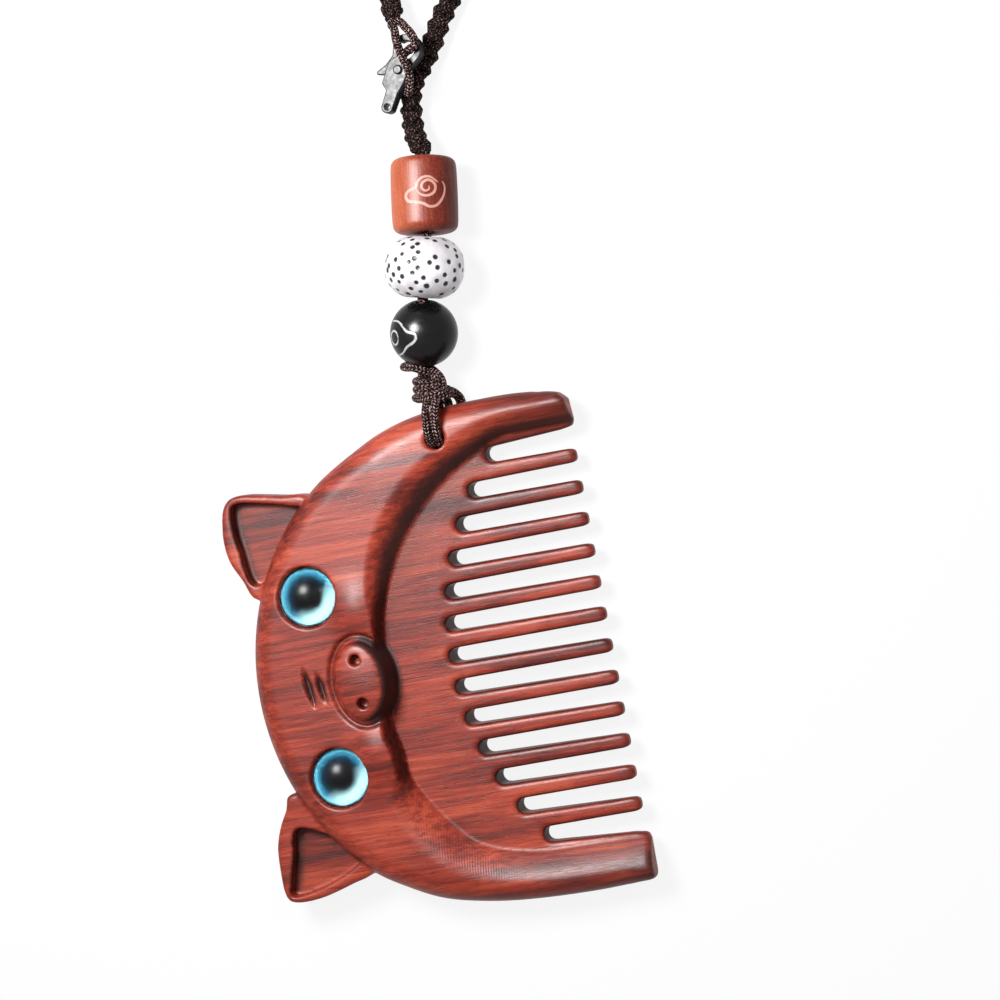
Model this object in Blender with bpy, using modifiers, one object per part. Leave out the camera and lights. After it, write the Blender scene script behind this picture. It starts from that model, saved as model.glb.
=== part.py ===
"""A wooden comb carved with a pig's face, lying on its back with its beaded cord lanyard.

The comb's length runs along X with the lanyard at +X, its teeth point to -Y and its face is up.
The origin is the middle of the comb's underside.
"""

import math

import bmesh
import bpy
from mathutils import Matrix, Vector

MM = 0.001
GAP = 0.3 * MM  # between pieces that touch

# The comb: heights above the table
FACE_TOP = 12.5 * MM
PLATE_TOP = 7.8 * MM
TIP_TOP = 5.3 * MM
TIP_UNDERSIDE = 2.6 * MM
GUARD_TOP = 8.8 * MM
HORN_UNDERSIDE = 3.0 * MM
RIM_ROUNDING = 2.6 * MM
RIM_SEGMENTS = 3
FACE_LEVEL_Y = 2.0 * MM  # the face is level from here up, and falls away towards the guards' ends
FACE_FALL_SHARE = 0.45  # how much of that fall is reached half way to the guards' ends
UNDERSIDE_LEVEL_Y = -6.0 * MM  # the underside is level from here up

# The comb: outline, in the order from the +X guard round the back of the head to the -X guard
GUARD_END_Y = -38.75 * MM
HEAD_RADIUS = 51.4 * MM
HEAD_CENTRE = Vector((-1.3, -14.9)) * MM
HEAD_ARC = (36.0, 138.5)  # degrees, where the round head meets the horns
RIGHT_HORN = [(45.6, 5.6), (48.2, -0.6), (49.8, -7.5), (50.5, -15.5), (50.5, -26.0), (49.9, -33.0)]
LEFT_HORN = [(-44.2, 12.2), (-47.4, 5.2), (-49.3, -3.5), (-50.2, -13.0), (-50.4, -25.0), (-50.1, -33.0)]
RIGHT_GUARD_CORNER = [(48.9, -37.0), (47.4, -38.4)]
LEFT_GUARD_CORNER = [(-49.9, -38.0), (-49.2, -38.7)]

# The comb: the step from the raised face down to the plate, as its foot and its crest
STEP_FOOT = [
    (42.6, -46.0), (42.4, -33.0), (42.2, -24.0), (40.5, -19.4), (37.5, -13.6), (33.1, -7.4), (28.2, -2.6),
    (22.8, 1.5), (16.2, 4.9), (9.4, 7.2), (0.0, 8.2), (-10.3, 9.1), (-16.3, 8.0), (-21.5, 7.4), (-25.0, 5.8),
    (-29.9, 2.6), (-35.9, -2.6), (-39.0, -8.6), (-40.5, -16.5), (-40.8, -25.0), (-40.9, -46.0),
]
STEP_CREST = [
    (45.0, -46.0), (45.0, -33.5), (44.8, -25.5), (43.6, -20.4), (40.6, -12.6), (36.0, -5.3), (30.4, 0.1),
    (24.6, 4.0), (17.4, 6.9), (9.6, 8.0), (0.0, 8.8), (-10.1, 9.7), (-16.0, 8.7), (-21.5, 8.6), (-27.6, 8.4),
    (-33.6, 6.0), (-39.6, 0.6), (-43.4, -6.4), (-45.3, -15.5), (-45.8, -25.0), (-45.9, -46.0),
]
FLAT_PLATE_Y = -4.0 * MM  # the plate is level up to here, then thins towards the tips
# each pair: mm from the middle, share of the rise under the horns
UNDERSIDE_RISE = [(28, 0.0), (36, 0.12), (40, 0.42), (43, 0.76), (46, 0.94), (51, 1.0)]
FACE_DROP = [(20, 0.0), (40, 0.3), (51, 1.0)]  # mm from the middle, fall of the face in mm

# The comb: slots and teeth
SLOT_COUNT = 13
SLOT_PITCH = 6.42 * MM
SLOT_ROW_X = 0.7 * MM
SLOT_ROOT_WIDTH = 3.1 * MM
SLOT_MOUTH_WIDTH = 4.6 * MM
ROOT_ARC_RADIUS = 61.0 * MM
ROOT_ARC_TOP = Vector((-0.8, -4.9)) * MM
TOOTH_TIP_Y = -38.0 * MM
TOOTH_TIP_LENGTH = 2.2 * MM  # of the rounded tip
GUARD_INNER_CORNER = [(1.5, 0.0), (0.4, 0.5)]  # mm from the slot beside it and above the guard's end

# The ears
EAR_TOP = 9.6 * MM
EAR_UNDERSIDE = 2.8 * MM
EAR_FLOOR = 6.6 * MM  # the bottom of the hollow in each ear
EAR_EDGE_ROUNDING = 0.8 * MM
RIGHT_EAR = [
    (34.0, 14.0), (38.1, 18.4), (39.0, 23.6), (40.0, 28.6), (40.6, 32.2), (40.1, 35.0), (38.2, 36.6),
    (34.9, 37.4), (31.2, 37.7), (27.3, 37.1), (23.4, 35.2), (19.0, 32.9), (20.0, 27.0),
]
LEFT_EAR = [
    (-36.5, 15.0), (-40.2, 19.4), (-41.4, 23.2), (-42.6, 27.2), (-43.5, 31.0), (-43.8, 35.0), (-43.2, 37.7),
    (-41.2, 38.6), (-37.9, 38.7), (-32.3, 38.4), (-28.0, 37.0), (-24.5, 35.0), (-21.5, 33.4), (-24.0, 26.0),
]
RIGHT_EAR_HOLLOW = [
    (34.0, 18.0), (36.6, 21.9), (38.3, 28.5), (39.0, 33.6), (37.0, 34.9), (30.0, 34.6), (21.8, 31.7),
]
LEFT_EAR_HOLLOW = [
    (-35.0, 20.0), (-38.8, 23.6), (-41.6, 31.0), (-42.3, 36.9), (-39.0, 36.4), (-34.8, 35.2), (-28.6, 32.6),
]

# The snout, its nostrils and the two creases above it
SNOUT_CENTRE = Vector((-0.8, 12.4)) * MM
SNOUT_HALF_LENGTH = 8.7 * MM
SNOUT_HALF_WIDTH = 6.1 * MM
SNOUT_TOP = 15.0 * MM
SNOUT_TAPER = 0.9  # the top face as a share of the base
SNOUT_ROOT = 3.0 * MM  # how far it reaches down into the comb
SNOUT_EDGE_ROUNDING = 0.9 * MM
NOSTRIL_DIAMETER = 2.3 * MM
NOSTRIL_SPACING = 8.8 * MM
NOSTRIL_DEPTH = 2.6 * MM
CREASES = [((-0.6, 24.0), 7.2, 1.1), ((-0.9, 21.1), 5.6, 1.0)]  # middle, length and width in mm
CREASE_DEPTH = 0.9 * MM
CREASE_LIFT = 0.2  # how far its cutter's middle is above the face, as a share of the depth
CREASE_TURN = 8.0  # degrees

# The eyes
EYE_PLACES = {"right": Vector((17.7, 20.95)) * MM, "left": Vector((-19.5, 21.1)) * MM}
EYE_DIAMETER = 12.0 * MM
EYE_EDGE_HEIGHT = 1.2 * MM
EYE_DOME_HEIGHT = 3.6 * MM
IRIS_THICKNESS = 0.7 * MM
EYE_SOCKET_DEPTH = 3.1 * MM

# The hole for the lanyard, and the thin cord through it
HOLE_PLACE = Vector((44.2, -11.4)) * MM
HOLE_DIAMETER = 4.0 * MM
STRAND_DIAMETER = 1.5 * MM
STRAND_SPACING = 1.85 * MM
STRAND_HEADING = -5.5  # degrees from +X
STRAND_SLACK = 1.6 * MM  # how far each loop stands off the round rim, so that it can swing
STRAND_INSET = 0.8 * MM  # how far it stands off the hole's outer wall
STRAND_OVER = [(-0.4, 1.4), (-2.4, 0.0)]  # mm beyond the slack, mm below the loop's top
STRAND_UNDER = [(-2.6, 0.0), (-0.2, 0.5)]  # mm beyond the slack, mm above the loop's lowest line
STRAND_BEND = [(2.3, 0.0), (1.2, 0.15), (0.4, 0.7), (0.0, 1.9)]  # mm from the hole's wall, mm of fall

# The knot between the hole and the beads
KNOT_CENTRE = Vector((55.7, -10.7, 5.6)) * MM
KNOT_HEADING = 8.0
KNOT_LENGTH = 6.0 * MM
KNOT_DIAMETER = 5.8 * MM
KNOT_SWELL = 0.08  # how far its three lobes stand out, as a share of its radius
KNOT_BLUNTNESS = 0.6  # 1 is a ball, less has flatter ends
KNOT_TO_STRANDS = 0.8 * MM
KNOT_TAIL_DIAMETER = 2.0 * MM
KNOT_TAIL_ROUTE = [(54.7, -14.8, 4.5), (53.4, -15.5, 3.2), (52.0, -16.35, 1.9), (50.4, -17.2, 1.35)]

# The beads, from the knot outwards
BEAD_CORD_DIAMETER = 2.2 * MM
BEAD_BORE = 3.2 * MM
BEAD_ROW_START = Vector((59.5, -10.95)) * MM
BLACK_BEAD_DIAMETER = 13.7 * MM
BLACK_BEAD_LENGTH = 12.8 * MM
BLACK_END_WIDTH = 0.8 * MM  # of the flat ring round its bore
BLACK_ROUNDNESS = 2.0  # 2 is a ball's side, more is nearer to a barrel's
BLACK_HEADING = -12.0  # degrees from +X
BLACK_TO_BODHI = 0.75 * MM  # along the cord, so that beads that lean to one another stay clear
BODHI_BEAD_DIAMETER = 16.0 * MM
BODHI_BEAD_LENGTH = 12.2 * MM
BODHI_END_WIDTH = 1.9 * MM
BODHI_ROUNDNESS = 2.4
BODHI_HEADING = -14.0
BODHI_TO_BARREL = 0.9 * MM
BARREL_BEAD_DIAMETER = 13.4 * MM
BARREL_BEAD_LENGTH = 14.8 * MM
BARREL_EDGE_ROUNDING = 1.6 * MM
BARREL_HEADING = -7.0

# The braided cord, from the barrel bead round the hanging loop to its tapered end
BRAID_DIAMETER = 4.8 * MM
BRAID_HEIGHT = 2.7 * MM  # of its middle line where it lies on the table
BRAID_START = [(103.6, -17.75, 5.3), (106.4, -17.05, 3.8), (109.2, -16.95, 3.0)]  # down from the barrel bead
BRAID_LOOP = [
    (112.0, -17.2), (114.2, -17.65), (116.2, -18.65), (118.05, -20.2), (120.2, -22.1), (123.0, -24.0),
    (127.4, -26.8), (132.0, -30.4), (137.5, -34.9), (145.0, -39.6), (154.0, -42.8), (164.0, -43.0),
    (173.0, -39.6), (179.0, -32.8), (180.5, -24.5), (176.5, -16.8), (168.5, -12.4), (158.0, -11.9),
    (147.5, -14.0), (138.5, -16.4),
]
BRAID_END = [(133.1, -17.15, 3.3), (130.6, -17.4, 4.7), (128.1, -17.95, 6.5)]  # up to the link
BRAID_LEAD = 1.5 * MM  # how far it runs straight on from the barrel bead
BRAID_POINT_SPACING = 4.0 * MM
THIN_CORD_SPACING = 1.6 * MM

# The two legs of thin cord between the braid's end and the place where the loop closes
LINK_DIAMETER = 1.7 * MM
LINK_FRONT_ROUTE = [
    (127.5, -17.45, 7.2), (126.4, -18.3, 8.7), (125.1, -18.6, 9.6), (123.8, -18.65, 9.95),
    (121.9, -18.95, 10.1), (120.0, -19.3, 9.9), (118.0, -19.85, 9.75), (116.1, -19.9, 9.65),
    (114.3, -19.3, 9.2), (112.9, -18.4, 7.9),
]
LINK_BACK_ROUTE = [
    (127.3, -19.7, 7.3), (126.2, -20.6, 8.8), (124.9, -21.6, 9.6), (123.5, -22.2, 9.7), (122.3, -22.3, 9.7),
    (121.7, -21.8, 9.75), (121.6, -21.1, 9.6), (121.6, -20.6, 8.9), (121.65, -20.3, 7.9), (121.75, -20.15, 7.0),
    (121.9, -19.9, 6.0), (122.1, -19.0, 4.6), (121.3, -17.6, 4.0), (119.2, -15.7, 3.9), (117.0, -14.2, 3.6),
    (114.6, -13.4, 3.0),
]

# The lobster clasp, in its own frame: x from tail to bow, y towards the thumb nub
CLASP_PLACE = Vector((121.76, -19.71)) * MM  # the middle of its ring, which lies on the braid
CLASP_HEADING = -30.0
CLASP_THICKNESS = 3.0 * MM
CLASP_RING_RADIUS = 3.2 * MM
CLASP_RING_BAR = 1.35 * MM
CLASP_LENGTH = 16.4 * MM
CLASP_TAIL_HALF_WIDTH = 1.3 * MM
CLASP_EYE_DIAMETER = 1.2 * MM
CLASP_GATE_ANGLES = (58.0, 142.0)  # the part of the ring that the lever closes, degrees from +x
CLASP_NECK_ANGLE = -118.0  # where the ring runs into the body
CLASP_UNDER = [(-3.4, -2.0), (-6.4, -1.8), (-8.8, -1.3)]  # from the ring to the tail
CLASP_OVER = [(-8.8, 1.3), (-7.8, 2.6), (-3.2, 2.6), (-2.2, 1.85)]  # from the tail to the gate
CLASP_SLOT = [(-7.9, -1.3), (-0.9, 6.0)]  # opposite corners of the slot for the lever
CLASP_EDGE_ROUNDING = 0.35 * MM
CLASP_SWING_PLACE = Vector((121.7, -20.15)) * MM  # on the link cord that the clasp hangs from
LEVER_THICKNESS = 1.2 * MM
LEVER_BOSS_RADIUS = 1.15 * MM
LEVER_BOSS_ANGLES = (190.0, 330.0)  # the part of the boss that is the lever's outline
LEVER_ARM = [(-2.2, 1.25)]  # inner side, from the boss to the gate
LEVER_BACK = [(-1.9, 2.55), (-4.0, 3.3), (-5.9, 4.6), (-6.5, 4.4), (-6.2, 3.2), (-5.1, 1.4)]
LEVER_TIP = [(0.05, -0.6), (0.25, 0.1), (-0.2, 0.65)]  # round the middle of the ring's bar
RIVET_PLACE = Vector((-4.2, 0.2)) * MM
RIVET_DIAMETER = 0.9 * MM
RIVET_HEAD_DIAMETER = 1.9 * MM
RIVET_HEAD_HEIGHT = 0.3 * MM
RIVET_HEAD_TAPER = 0.7  # its top as a share of its base
SPRING_DIAMETER = 1.0 * MM
SPRING_WIRE = 0.2 * MM
SPRING_TURNS = 2
SPRING_LENGTH = 1.75 * MM
SPRING_START = Vector((-7.5, 0.9, 0.0)) * MM

CURVE_STEP = 3.0 * MM  # between points read from a smooth outline
FULL_TURN = 360.0


def metres(points):
    """Points given in millimetres, as vectors in metres."""
    return [Vector(point) * MM for point in points]


def smooth_points(points, spacing, pace=None):
    """Points on a smooth curve through the given points.

    They stand at about this spacing, counted along another line with as many points when pace names one.
    """
    pace = pace or points
    last = len(points) - 1
    result = []
    for index in range(last):
        start = points[index]
        end = points[index + 1]
        before = points[index - 1] if index > 0 else start * 2 - end
        after = points[index + 2] if index + 2 <= last else end * 2 - start
        steps = max(1, round((pace[index + 1] - pace[index]).length / spacing))
        for step in range(steps):
            t = step / steps
            bend = 2 * before - 5 * start + 4 * end - after
            twist = 3 * start - before - 3 * end + after
            result.append(0.5 * (2 * start + (end - before) * t + bend * t ** 2 + twist * t ** 3))
    result.append(points[last].copy())
    return result


def arc_points(centre, radius, start, end, count):
    """Points on an arc, with angles in degrees."""
    points = []
    for index in range(count + 1):
        angle = math.radians(start + (end - start) * index / count)
        points.append(centre + radius * Vector((math.cos(angle), math.sin(angle))))
    return points


def heading_vector(heading, pitch=0.0):
    """The direction with this heading in the table's plane and this pitch above it, in degrees."""
    turn = math.radians(heading)
    rise = math.radians(pitch)
    return Vector((math.cos(turn) * math.cos(rise), math.sin(turn) * math.cos(rise), math.sin(rise)))


def clear_scene():
    for old in list(bpy.data.objects):
        bpy.data.objects.remove(old)


def make_collection(name):
    collection = bpy.data.collections.new(name)
    bpy.context.scene.collection.children.link(collection)
    return collection


def make_material(name, colour, roughness, metallic=0.0):
    material = bpy.data.materials.new(name)
    material.use_nodes = True
    shader = material.node_tree.nodes["Principled BSDF"]
    shader.inputs["Base Color"].default_value = (*colour, 1.0)
    shader.inputs["Roughness"].default_value = roughness
    shader.inputs["Metallic"].default_value = metallic
    material.diffuse_color = (*colour, 1.0)
    return material


def put(obj, collection, material=None):
    """Puts an object in a collection. One without a material is a cutter."""
    collection.objects.link(obj)
    if material is None:
        obj.hide_render = True
        obj.display_type = "WIRE"
    else:
        obj.data.materials.clear()
        obj.data.materials.append(material)
    return obj


def object_from_bmesh(name, work):
    mesh = bpy.data.meshes.new(name)
    work.to_mesh(mesh)
    work.free()
    return bpy.data.objects.new(name, mesh)


def mesh_from_curve(name, curve):
    """The curve as a closed mesh object."""
    source = bpy.data.objects.new(name + "_curve", curve)
    bpy.context.scene.collection.objects.link(source)
    bpy.context.view_layer.update()
    evaluated = source.evaluated_get(bpy.context.evaluated_depsgraph_get())
    mesh = bpy.data.meshes.new_from_object(evaluated)
    mesh.name = name
    bpy.data.objects.remove(source)
    work = bmesh.new()
    work.from_mesh(mesh)
    bmesh.ops.remove_doubles(work, verts=work.verts, dist=0.00001)
    bmesh.ops.recalc_face_normals(work, faces=work.faces)
    work.to_mesh(mesh)
    work.free()
    return bpy.data.objects.new(name, mesh)


def flat_outline(name, points, low, high):
    """A flat outline extruded between two heights."""
    curve = bpy.data.curves.new(name, "CURVE")
    curve.dimensions = "2D"
    curve.fill_mode = "BOTH"
    curve.extrude = (high - low) / 2
    spline = curve.splines.new("POLY")
    spline.points.add(len(points) - 1)
    for spot, point in zip(spline.points, points):
        spot.co = (point[0], point[1], 0.0, 1.0)
    spline.use_cyclic_u = True
    solid = mesh_from_curve(name, curve)
    for vertex in solid.data.vertices:
        vertex.co.z += (low + high) / 2
    return solid


def prism_along_x(name, profile, low, high):
    """A profile of (y, height) points run along X between two places."""
    solid = flat_outline(name, profile, low, high)
    solid.data.transform(Matrix(((0, 0, 1), (1, 0, 0), (0, 1, 0))).to_4x4())
    return solid


def loft(name, rings):
    """A closed solid through rings of points with like counts, from the lowest ring up."""
    work = bmesh.new()
    layers = [[work.verts.new(point) for point in ring] for ring in rings]
    count = len(layers[0])
    for lower, upper in zip(layers, layers[1:]):
        for index in range(count):
            after = (index + 1) % count
            work.faces.new((lower[index], lower[after], upper[after], upper[index]))
    work.faces.new(list(reversed(layers[0])))
    work.faces.new(layers[-1])
    bmesh.ops.recalc_face_normals(work, faces=work.faces)
    return object_from_bmesh(name, work)


def cylinder(name, place, diameter, low, high, sides=32):
    """An upright cylinder at a place in the plane."""
    work = bmesh.new()
    bmesh.ops.create_cone(
        work, cap_ends=True, segments=sides, radius1=diameter / 2, radius2=diameter / 2, depth=high - low,
        matrix=Matrix.Translation((place[0], place[1], (low + high) / 2)),
    )
    return object_from_bmesh(name, work)


def box(name, low, high):
    size = [b - a for a, b in zip(low, high)]
    middle = [(a + b) / 2 for a, b in zip(low, high)]
    work = bmesh.new()
    bmesh.ops.create_cube(work, size=1.0, matrix=Matrix.Translation(middle) @ Matrix.Diagonal((*size, 1.0)))
    return object_from_bmesh(name, work)


def tube(name, points, diameter, sides_level=2):
    """A round cord or wire along points."""
    curve = bpy.data.curves.new(name, "CURVE")
    curve.dimensions = "3D"
    curve.bevel_depth = diameter / 2
    curve.bevel_resolution = sides_level
    curve.use_fill_caps = True
    spline = curve.splines.new("POLY")
    spline.points.add(len(points) - 1)
    for spot, point in zip(spline.points, points):
        spot.co = (*point, 1.0)
    return bpy.data.objects.new(name, curve)


def turned(name, profile, steps, collection, material):
    """A closed (radius, height) profile turned about the object's own Z axis."""
    work = bmesh.new()
    corners = [work.verts.new((radius, 0.0, height)) for radius, height in profile]
    for index, corner in enumerate(corners):
        if index + 1 < len(corners):
            work.edges.new((corner, corners[index + 1]))
        elif profile[0][0] > 0:
            work.edges.new((corner, corners[0]))
    obj = put(object_from_bmesh(name, work), collection, material)
    screw = obj.modifiers.new("turn", "SCREW")
    screw.steps = steps
    screw.render_steps = steps
    screw.use_merge_vertices = True
    screw.merge_threshold = 0.00001
    apply_modifiers(obj)
    work = bmesh.new()
    work.from_mesh(obj.data)
    bmesh.ops.recalc_face_normals(work, faces=work.faces)
    work.to_mesh(obj.data)
    work.free()
    return obj


def boolean(obj, other, operation):
    cut = obj.modifiers.new(other.name, "BOOLEAN")
    cut.object = other
    cut.operation = operation
    cut.solver = "EXACT"


def apply_modifiers(obj):
    """Replaces an object's mesh by its evaluated one."""
    bpy.context.view_layer.update()
    evaluated = obj.evaluated_get(bpy.context.evaluated_depsgraph_get())
    mesh = bpy.data.meshes.new_from_object(evaluated)
    mesh.name = obj.name
    obj.modifiers.clear()
    obj.data = mesh


def round_rims(obj, width, segments, angle=60.0):
    bevel = obj.modifiers.new("rims", "BEVEL")
    bevel.width = width
    bevel.segments = segments
    bevel.limit_method = "ANGLE"
    bevel.angle_limit = math.radians(angle)
    bevel.use_clamp_overlap = True


def shade_round(obj, angle=40.0):
    obj.data.shade_smooth()
    obj.data.set_sharp_from_angle(angle=math.radians(angle))


# The comb

BEYOND_TIPS = 8.0 * MM  # how far a blank or a cutter runs past what it shapes
FAR_OUT = 60.0 * MM  # a place outside the comb on every side


def blank_outline():
    """The comb's outline, with straight sides past the tips that the tooth cutter trims."""
    head = arc_points(HEAD_CENTRE, HEAD_RADIUS, *HEAD_ARC, 9)
    points = list(reversed(metres(RIGHT_HORN))) + head + metres(LEFT_HORN)
    curve = smooth_points(points, CURVE_STEP)
    past = GUARD_END_Y - BEYOND_TIPS
    right = Vector((curve[0].x, past))
    left = Vector((curve[-1].x, past))
    return [right] + curve + [left]


def root_y(x):
    """Where the slot at x ends, on the arc of the roots."""
    across = x - ROOT_ARC_TOP.x
    return ROOT_ARC_TOP.y - ROOT_ARC_RADIUS + math.sqrt(ROOT_ARC_RADIUS ** 2 - across ** 2)


def slot_places():
    middle = (SLOT_COUNT - 1) / 2
    return [SLOT_ROW_X + SLOT_PITCH * (middle - index) for index in range(SLOT_COUNT)]


def slot_side(x, root, side):
    """One wall of a slot from its mouth to where its round root starts."""
    mouth = Vector((x + side * SLOT_MOUTH_WIDTH / 2, TOOTH_TIP_Y + TOOTH_TIP_LENGTH))
    end = Vector((x + side * SLOT_ROOT_WIDTH / 2, root - SLOT_ROOT_WIDTH / 2))
    return mouth, end


def slots_outline():
    """All that is cut away between and beyond the teeth, as one outline."""
    past = GUARD_END_Y - 2 * BEYOND_TIPS
    places = slot_places()
    blank = blank_outline()
    right_edge = blank[0].x + BEYOND_TIPS
    left_edge = blank[-1].x - BEYOND_TIPS
    points = [Vector((right_edge, past)), Vector((right_edge, GUARD_END_Y + BEYOND_TIPS))]
    points.append(Vector((blank[0].x + GAP, GUARD_END_Y + BEYOND_TIPS / 2)))
    points += metres(RIGHT_GUARD_CORNER)
    inner = places[0] + SLOT_MOUTH_WIDTH / 2
    corner = metres(GUARD_INNER_CORNER)
    points += [Vector((inner + step.x, GUARD_END_Y + step.y)) for step in corner]
    for index, x in enumerate(places):
        root = root_y(x)
        mouth, end = slot_side(x, root, 1)
        points += [mouth, end]
        middle = Vector((x, root - SLOT_ROOT_WIDTH / 2))
        points += arc_points(middle, SLOT_ROOT_WIDTH / 2, 0, 180, 6)[1:-1]
        mouth, end = slot_side(x, root, -1)
        points += [end, mouth]
        if index + 1 < len(places):
            next_mouth = slot_side(places[index + 1], root, 1)[0]
            tip = Vector(((mouth.x + next_mouth.x) / 2, mouth.y))
            half = (mouth.x - next_mouth.x) / 2
            for angle in (30, 60, 90, 120, 150):
                turn = math.radians(angle)
                points.append(tip + Vector((half * math.cos(turn), -TOOTH_TIP_LENGTH * math.sin(turn))))
    inner = places[-1] - SLOT_MOUTH_WIDTH / 2
    points += [Vector((inner - step.x, GUARD_END_Y + step.y)) for step in reversed(corner)]
    points += list(reversed(metres(LEFT_GUARD_CORNER)))
    points.append(Vector((blank[-1].x - GAP, GUARD_END_Y + BEYOND_TIPS / 2)))
    points.append(Vector((left_edge, GUARD_END_Y + BEYOND_TIPS)))
    points.append(Vector((left_edge, past)))
    return points


def read_line(line, place):
    """The second value of a line of points where its first value is this place."""
    for first, second in zip(line, line[1:]):
        if min(first.x, second.x) <= place <= max(first.x, second.x):
            return first.y + (second.y - first.y) * (place - first.x) / (second.x - first.x)
    return line[0].y


def face_line():
    """The face's height along Y, from where it is level to the guards' ends."""
    half_way = FACE_TOP + (GUARD_TOP - FACE_TOP) * FACE_FALL_SHARE
    return [
        Vector((FACE_LEVEL_Y, FACE_TOP)), Vector((GUARD_END_Y / 2, half_way)), Vector((GUARD_END_Y, GUARD_TOP)),
    ]


def under_height(x, y):
    """The underside: level in the middle, higher under the tips and under both horns."""
    tips = [Vector((UNDERSIDE_LEVEL_Y, 0.0)), Vector((GUARD_END_Y, TIP_UNDERSIDE))]
    rise = [Vector((place * MM, share)) for place, share in UNDERSIDE_RISE]
    by_tips = read_line(tips, min(UNDERSIDE_LEVEL_Y, max(GUARD_END_Y, y)))
    by_horns = read_line(rise, min(rise[-1].x, max(rise[0].x, abs(x))))
    return by_tips + (HORN_UNDERSIDE - by_tips) * by_horns


def over_height(x, y):
    """The face: level over the head, lower at the guards' ends and a little lower on the horns."""
    line = face_line()
    drop = [Vector((place * MM, fall * MM)) for place, fall in FACE_DROP]
    by_length = read_line(line, min(FACE_LEVEL_Y, max(GUARD_END_Y, y)))
    by_horns = read_line(drop, min(drop[-1].x, max(drop[0].x, abs(x))))
    return by_length - by_horns * (by_length - GUARD_TOP) / (FACE_TOP - GUARD_TOP)


def inset(outline, distance):
    """The outline moved inwards by a distance. It runs counterclockwise."""
    result = []
    for index, point in enumerate(outline):
        before = (point - outline[index - 1]).normalized()
        after = (outline[(index + 1) % len(outline)] - point).normalized()
        mean = (before + after).normalized()
        inwards = Vector((-mean.y, mean.x))
        result.append(point + inwards * (distance / max(0.5, mean.dot(after))))
    return result


def comb_blank():
    """The blank with its rims rounded, then shaped to the heights of its face and underside."""
    outline = blank_outline()
    steps = [math.radians(90 * index / RIM_SEGMENTS) for index in range(RIM_SEGMENTS + 1)]
    shape = [(RIM_ROUNDING * (1 - math.sin(a)), RIM_ROUNDING * (1 - math.cos(a))) for a in steps]
    shape += [(RIM_ROUNDING * (1 - math.cos(a)), FACE_TOP - RIM_ROUNDING * (1 - math.sin(a))) for a in steps]
    rings = [[Vector((*point, height)) for point in inset(outline, depth)] for depth, height in shape]
    blank = loft("comb_body", rings)
    work = bmesh.new()
    work.from_mesh(blank.data)
    across = [place for place, _ in UNDERSIDE_RISE + FACE_DROP]
    for place in across:
        for side in (-1, 1):
            bisect(work, Vector((side * place * MM, 0.0, 0.0)), Vector((1.0, 0.0, 0.0)))
    for place in [UNDERSIDE_LEVEL_Y] + [point.x for point in face_line()]:
        bisect(work, Vector((0.0, place, 0.0)), Vector((0.0, 1.0, 0.0)))
    for vertex in work.verts:
        low = under_height(vertex.co.x, vertex.co.y)
        high = over_height(vertex.co.x, vertex.co.y)
        vertex.co.z = low + (high - low) * vertex.co.z / FACE_TOP
    bmesh.ops.triangulate(work, faces=work.faces)
    work.to_mesh(blank.data)
    work.free()
    return blank


def bisect(work, place, normal):
    everything = work.verts[:] + work.edges[:] + work.faces[:]
    bmesh.ops.bisect_plane(work, geom=everything, dist=0.00001, plane_co=place, plane_no=normal)


def step_cutter(cutters):
    """What is cut away above the plate and the teeth, up to the step below the face."""
    foot = smooth_points(metres(STEP_FOOT), CURVE_STEP)
    crest = smooth_points(metres(STEP_CREST), CURVE_STEP, pace=metres(STEP_FOOT))
    below = PLATE_TOP - BEYOND_TIPS
    above = FACE_TOP + BEYOND_TIPS
    rings = []
    for outline, height in ((foot, below), (foot, PLATE_TOP), (crest, FACE_TOP)):
        rings.append([Vector((point.x, point.y, height)) for point in outline])
    lift = (above - FACE_TOP) / (FACE_TOP - PLATE_TOP)
    rings.append([
        Vector((c.x + (c.x - f.x) * lift, c.y + (c.y - f.y) * lift, above)) for f, c in zip(foot, crest)
    ])
    solid = put(loft("step_cutter", rings), cutters)
    profile = [
        Vector((FAR_OUT, PLATE_TOP)), Vector((FAR_OUT, above + MM)), Vector((-FAR_OUT, above + MM)),
        Vector((-FAR_OUT, TIP_TOP)), Vector((GUARD_END_Y, TIP_TOP)), Vector((FLAT_PLATE_Y, PLATE_TOP)),
    ]
    wedge = put(prism_along_x("plate_wedge", profile, -FAR_OUT, FAR_OUT), cutters)
    boolean(solid, wedge, "INTERSECT")
    apply_modifiers(solid)
    return solid


def make_ear(name, outline, hollow, cutters):
    ear = put(flat_outline(name, metres(outline), EAR_UNDERSIDE, EAR_TOP), cutters)
    round_rims(ear, EAR_EDGE_ROUNDING, 2)
    cutter = put(flat_outline(name + "_hollow", metres(hollow), EAR_FLOOR, EAR_TOP + BEYOND_TIPS), cutters)
    boolean(ear, cutter, "DIFFERENCE")
    apply_modifiers(ear)
    return ear


def make_snout(cutters):
    low = PLATE_TOP - SNOUT_ROOT
    work = bmesh.new()
    bmesh.ops.create_cone(
        work, cap_ends=True, segments=36, radius1=1.0, radius2=SNOUT_TAPER, depth=SNOUT_TOP - low,
        matrix=Matrix.Translation((*SNOUT_CENTRE, (SNOUT_TOP + low) / 2)),
    )
    for vertex in work.verts:
        vertex.co.x = SNOUT_CENTRE.x + (vertex.co.x - SNOUT_CENTRE.x) * SNOUT_HALF_LENGTH
        vertex.co.y = SNOUT_CENTRE.y + (vertex.co.y - SNOUT_CENTRE.y) * SNOUT_HALF_WIDTH
    snout = put(object_from_bmesh("snout", work), cutters)
    round_rims(snout, SNOUT_EDGE_ROUNDING, 2)
    apply_modifiers(snout)
    return snout


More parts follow.
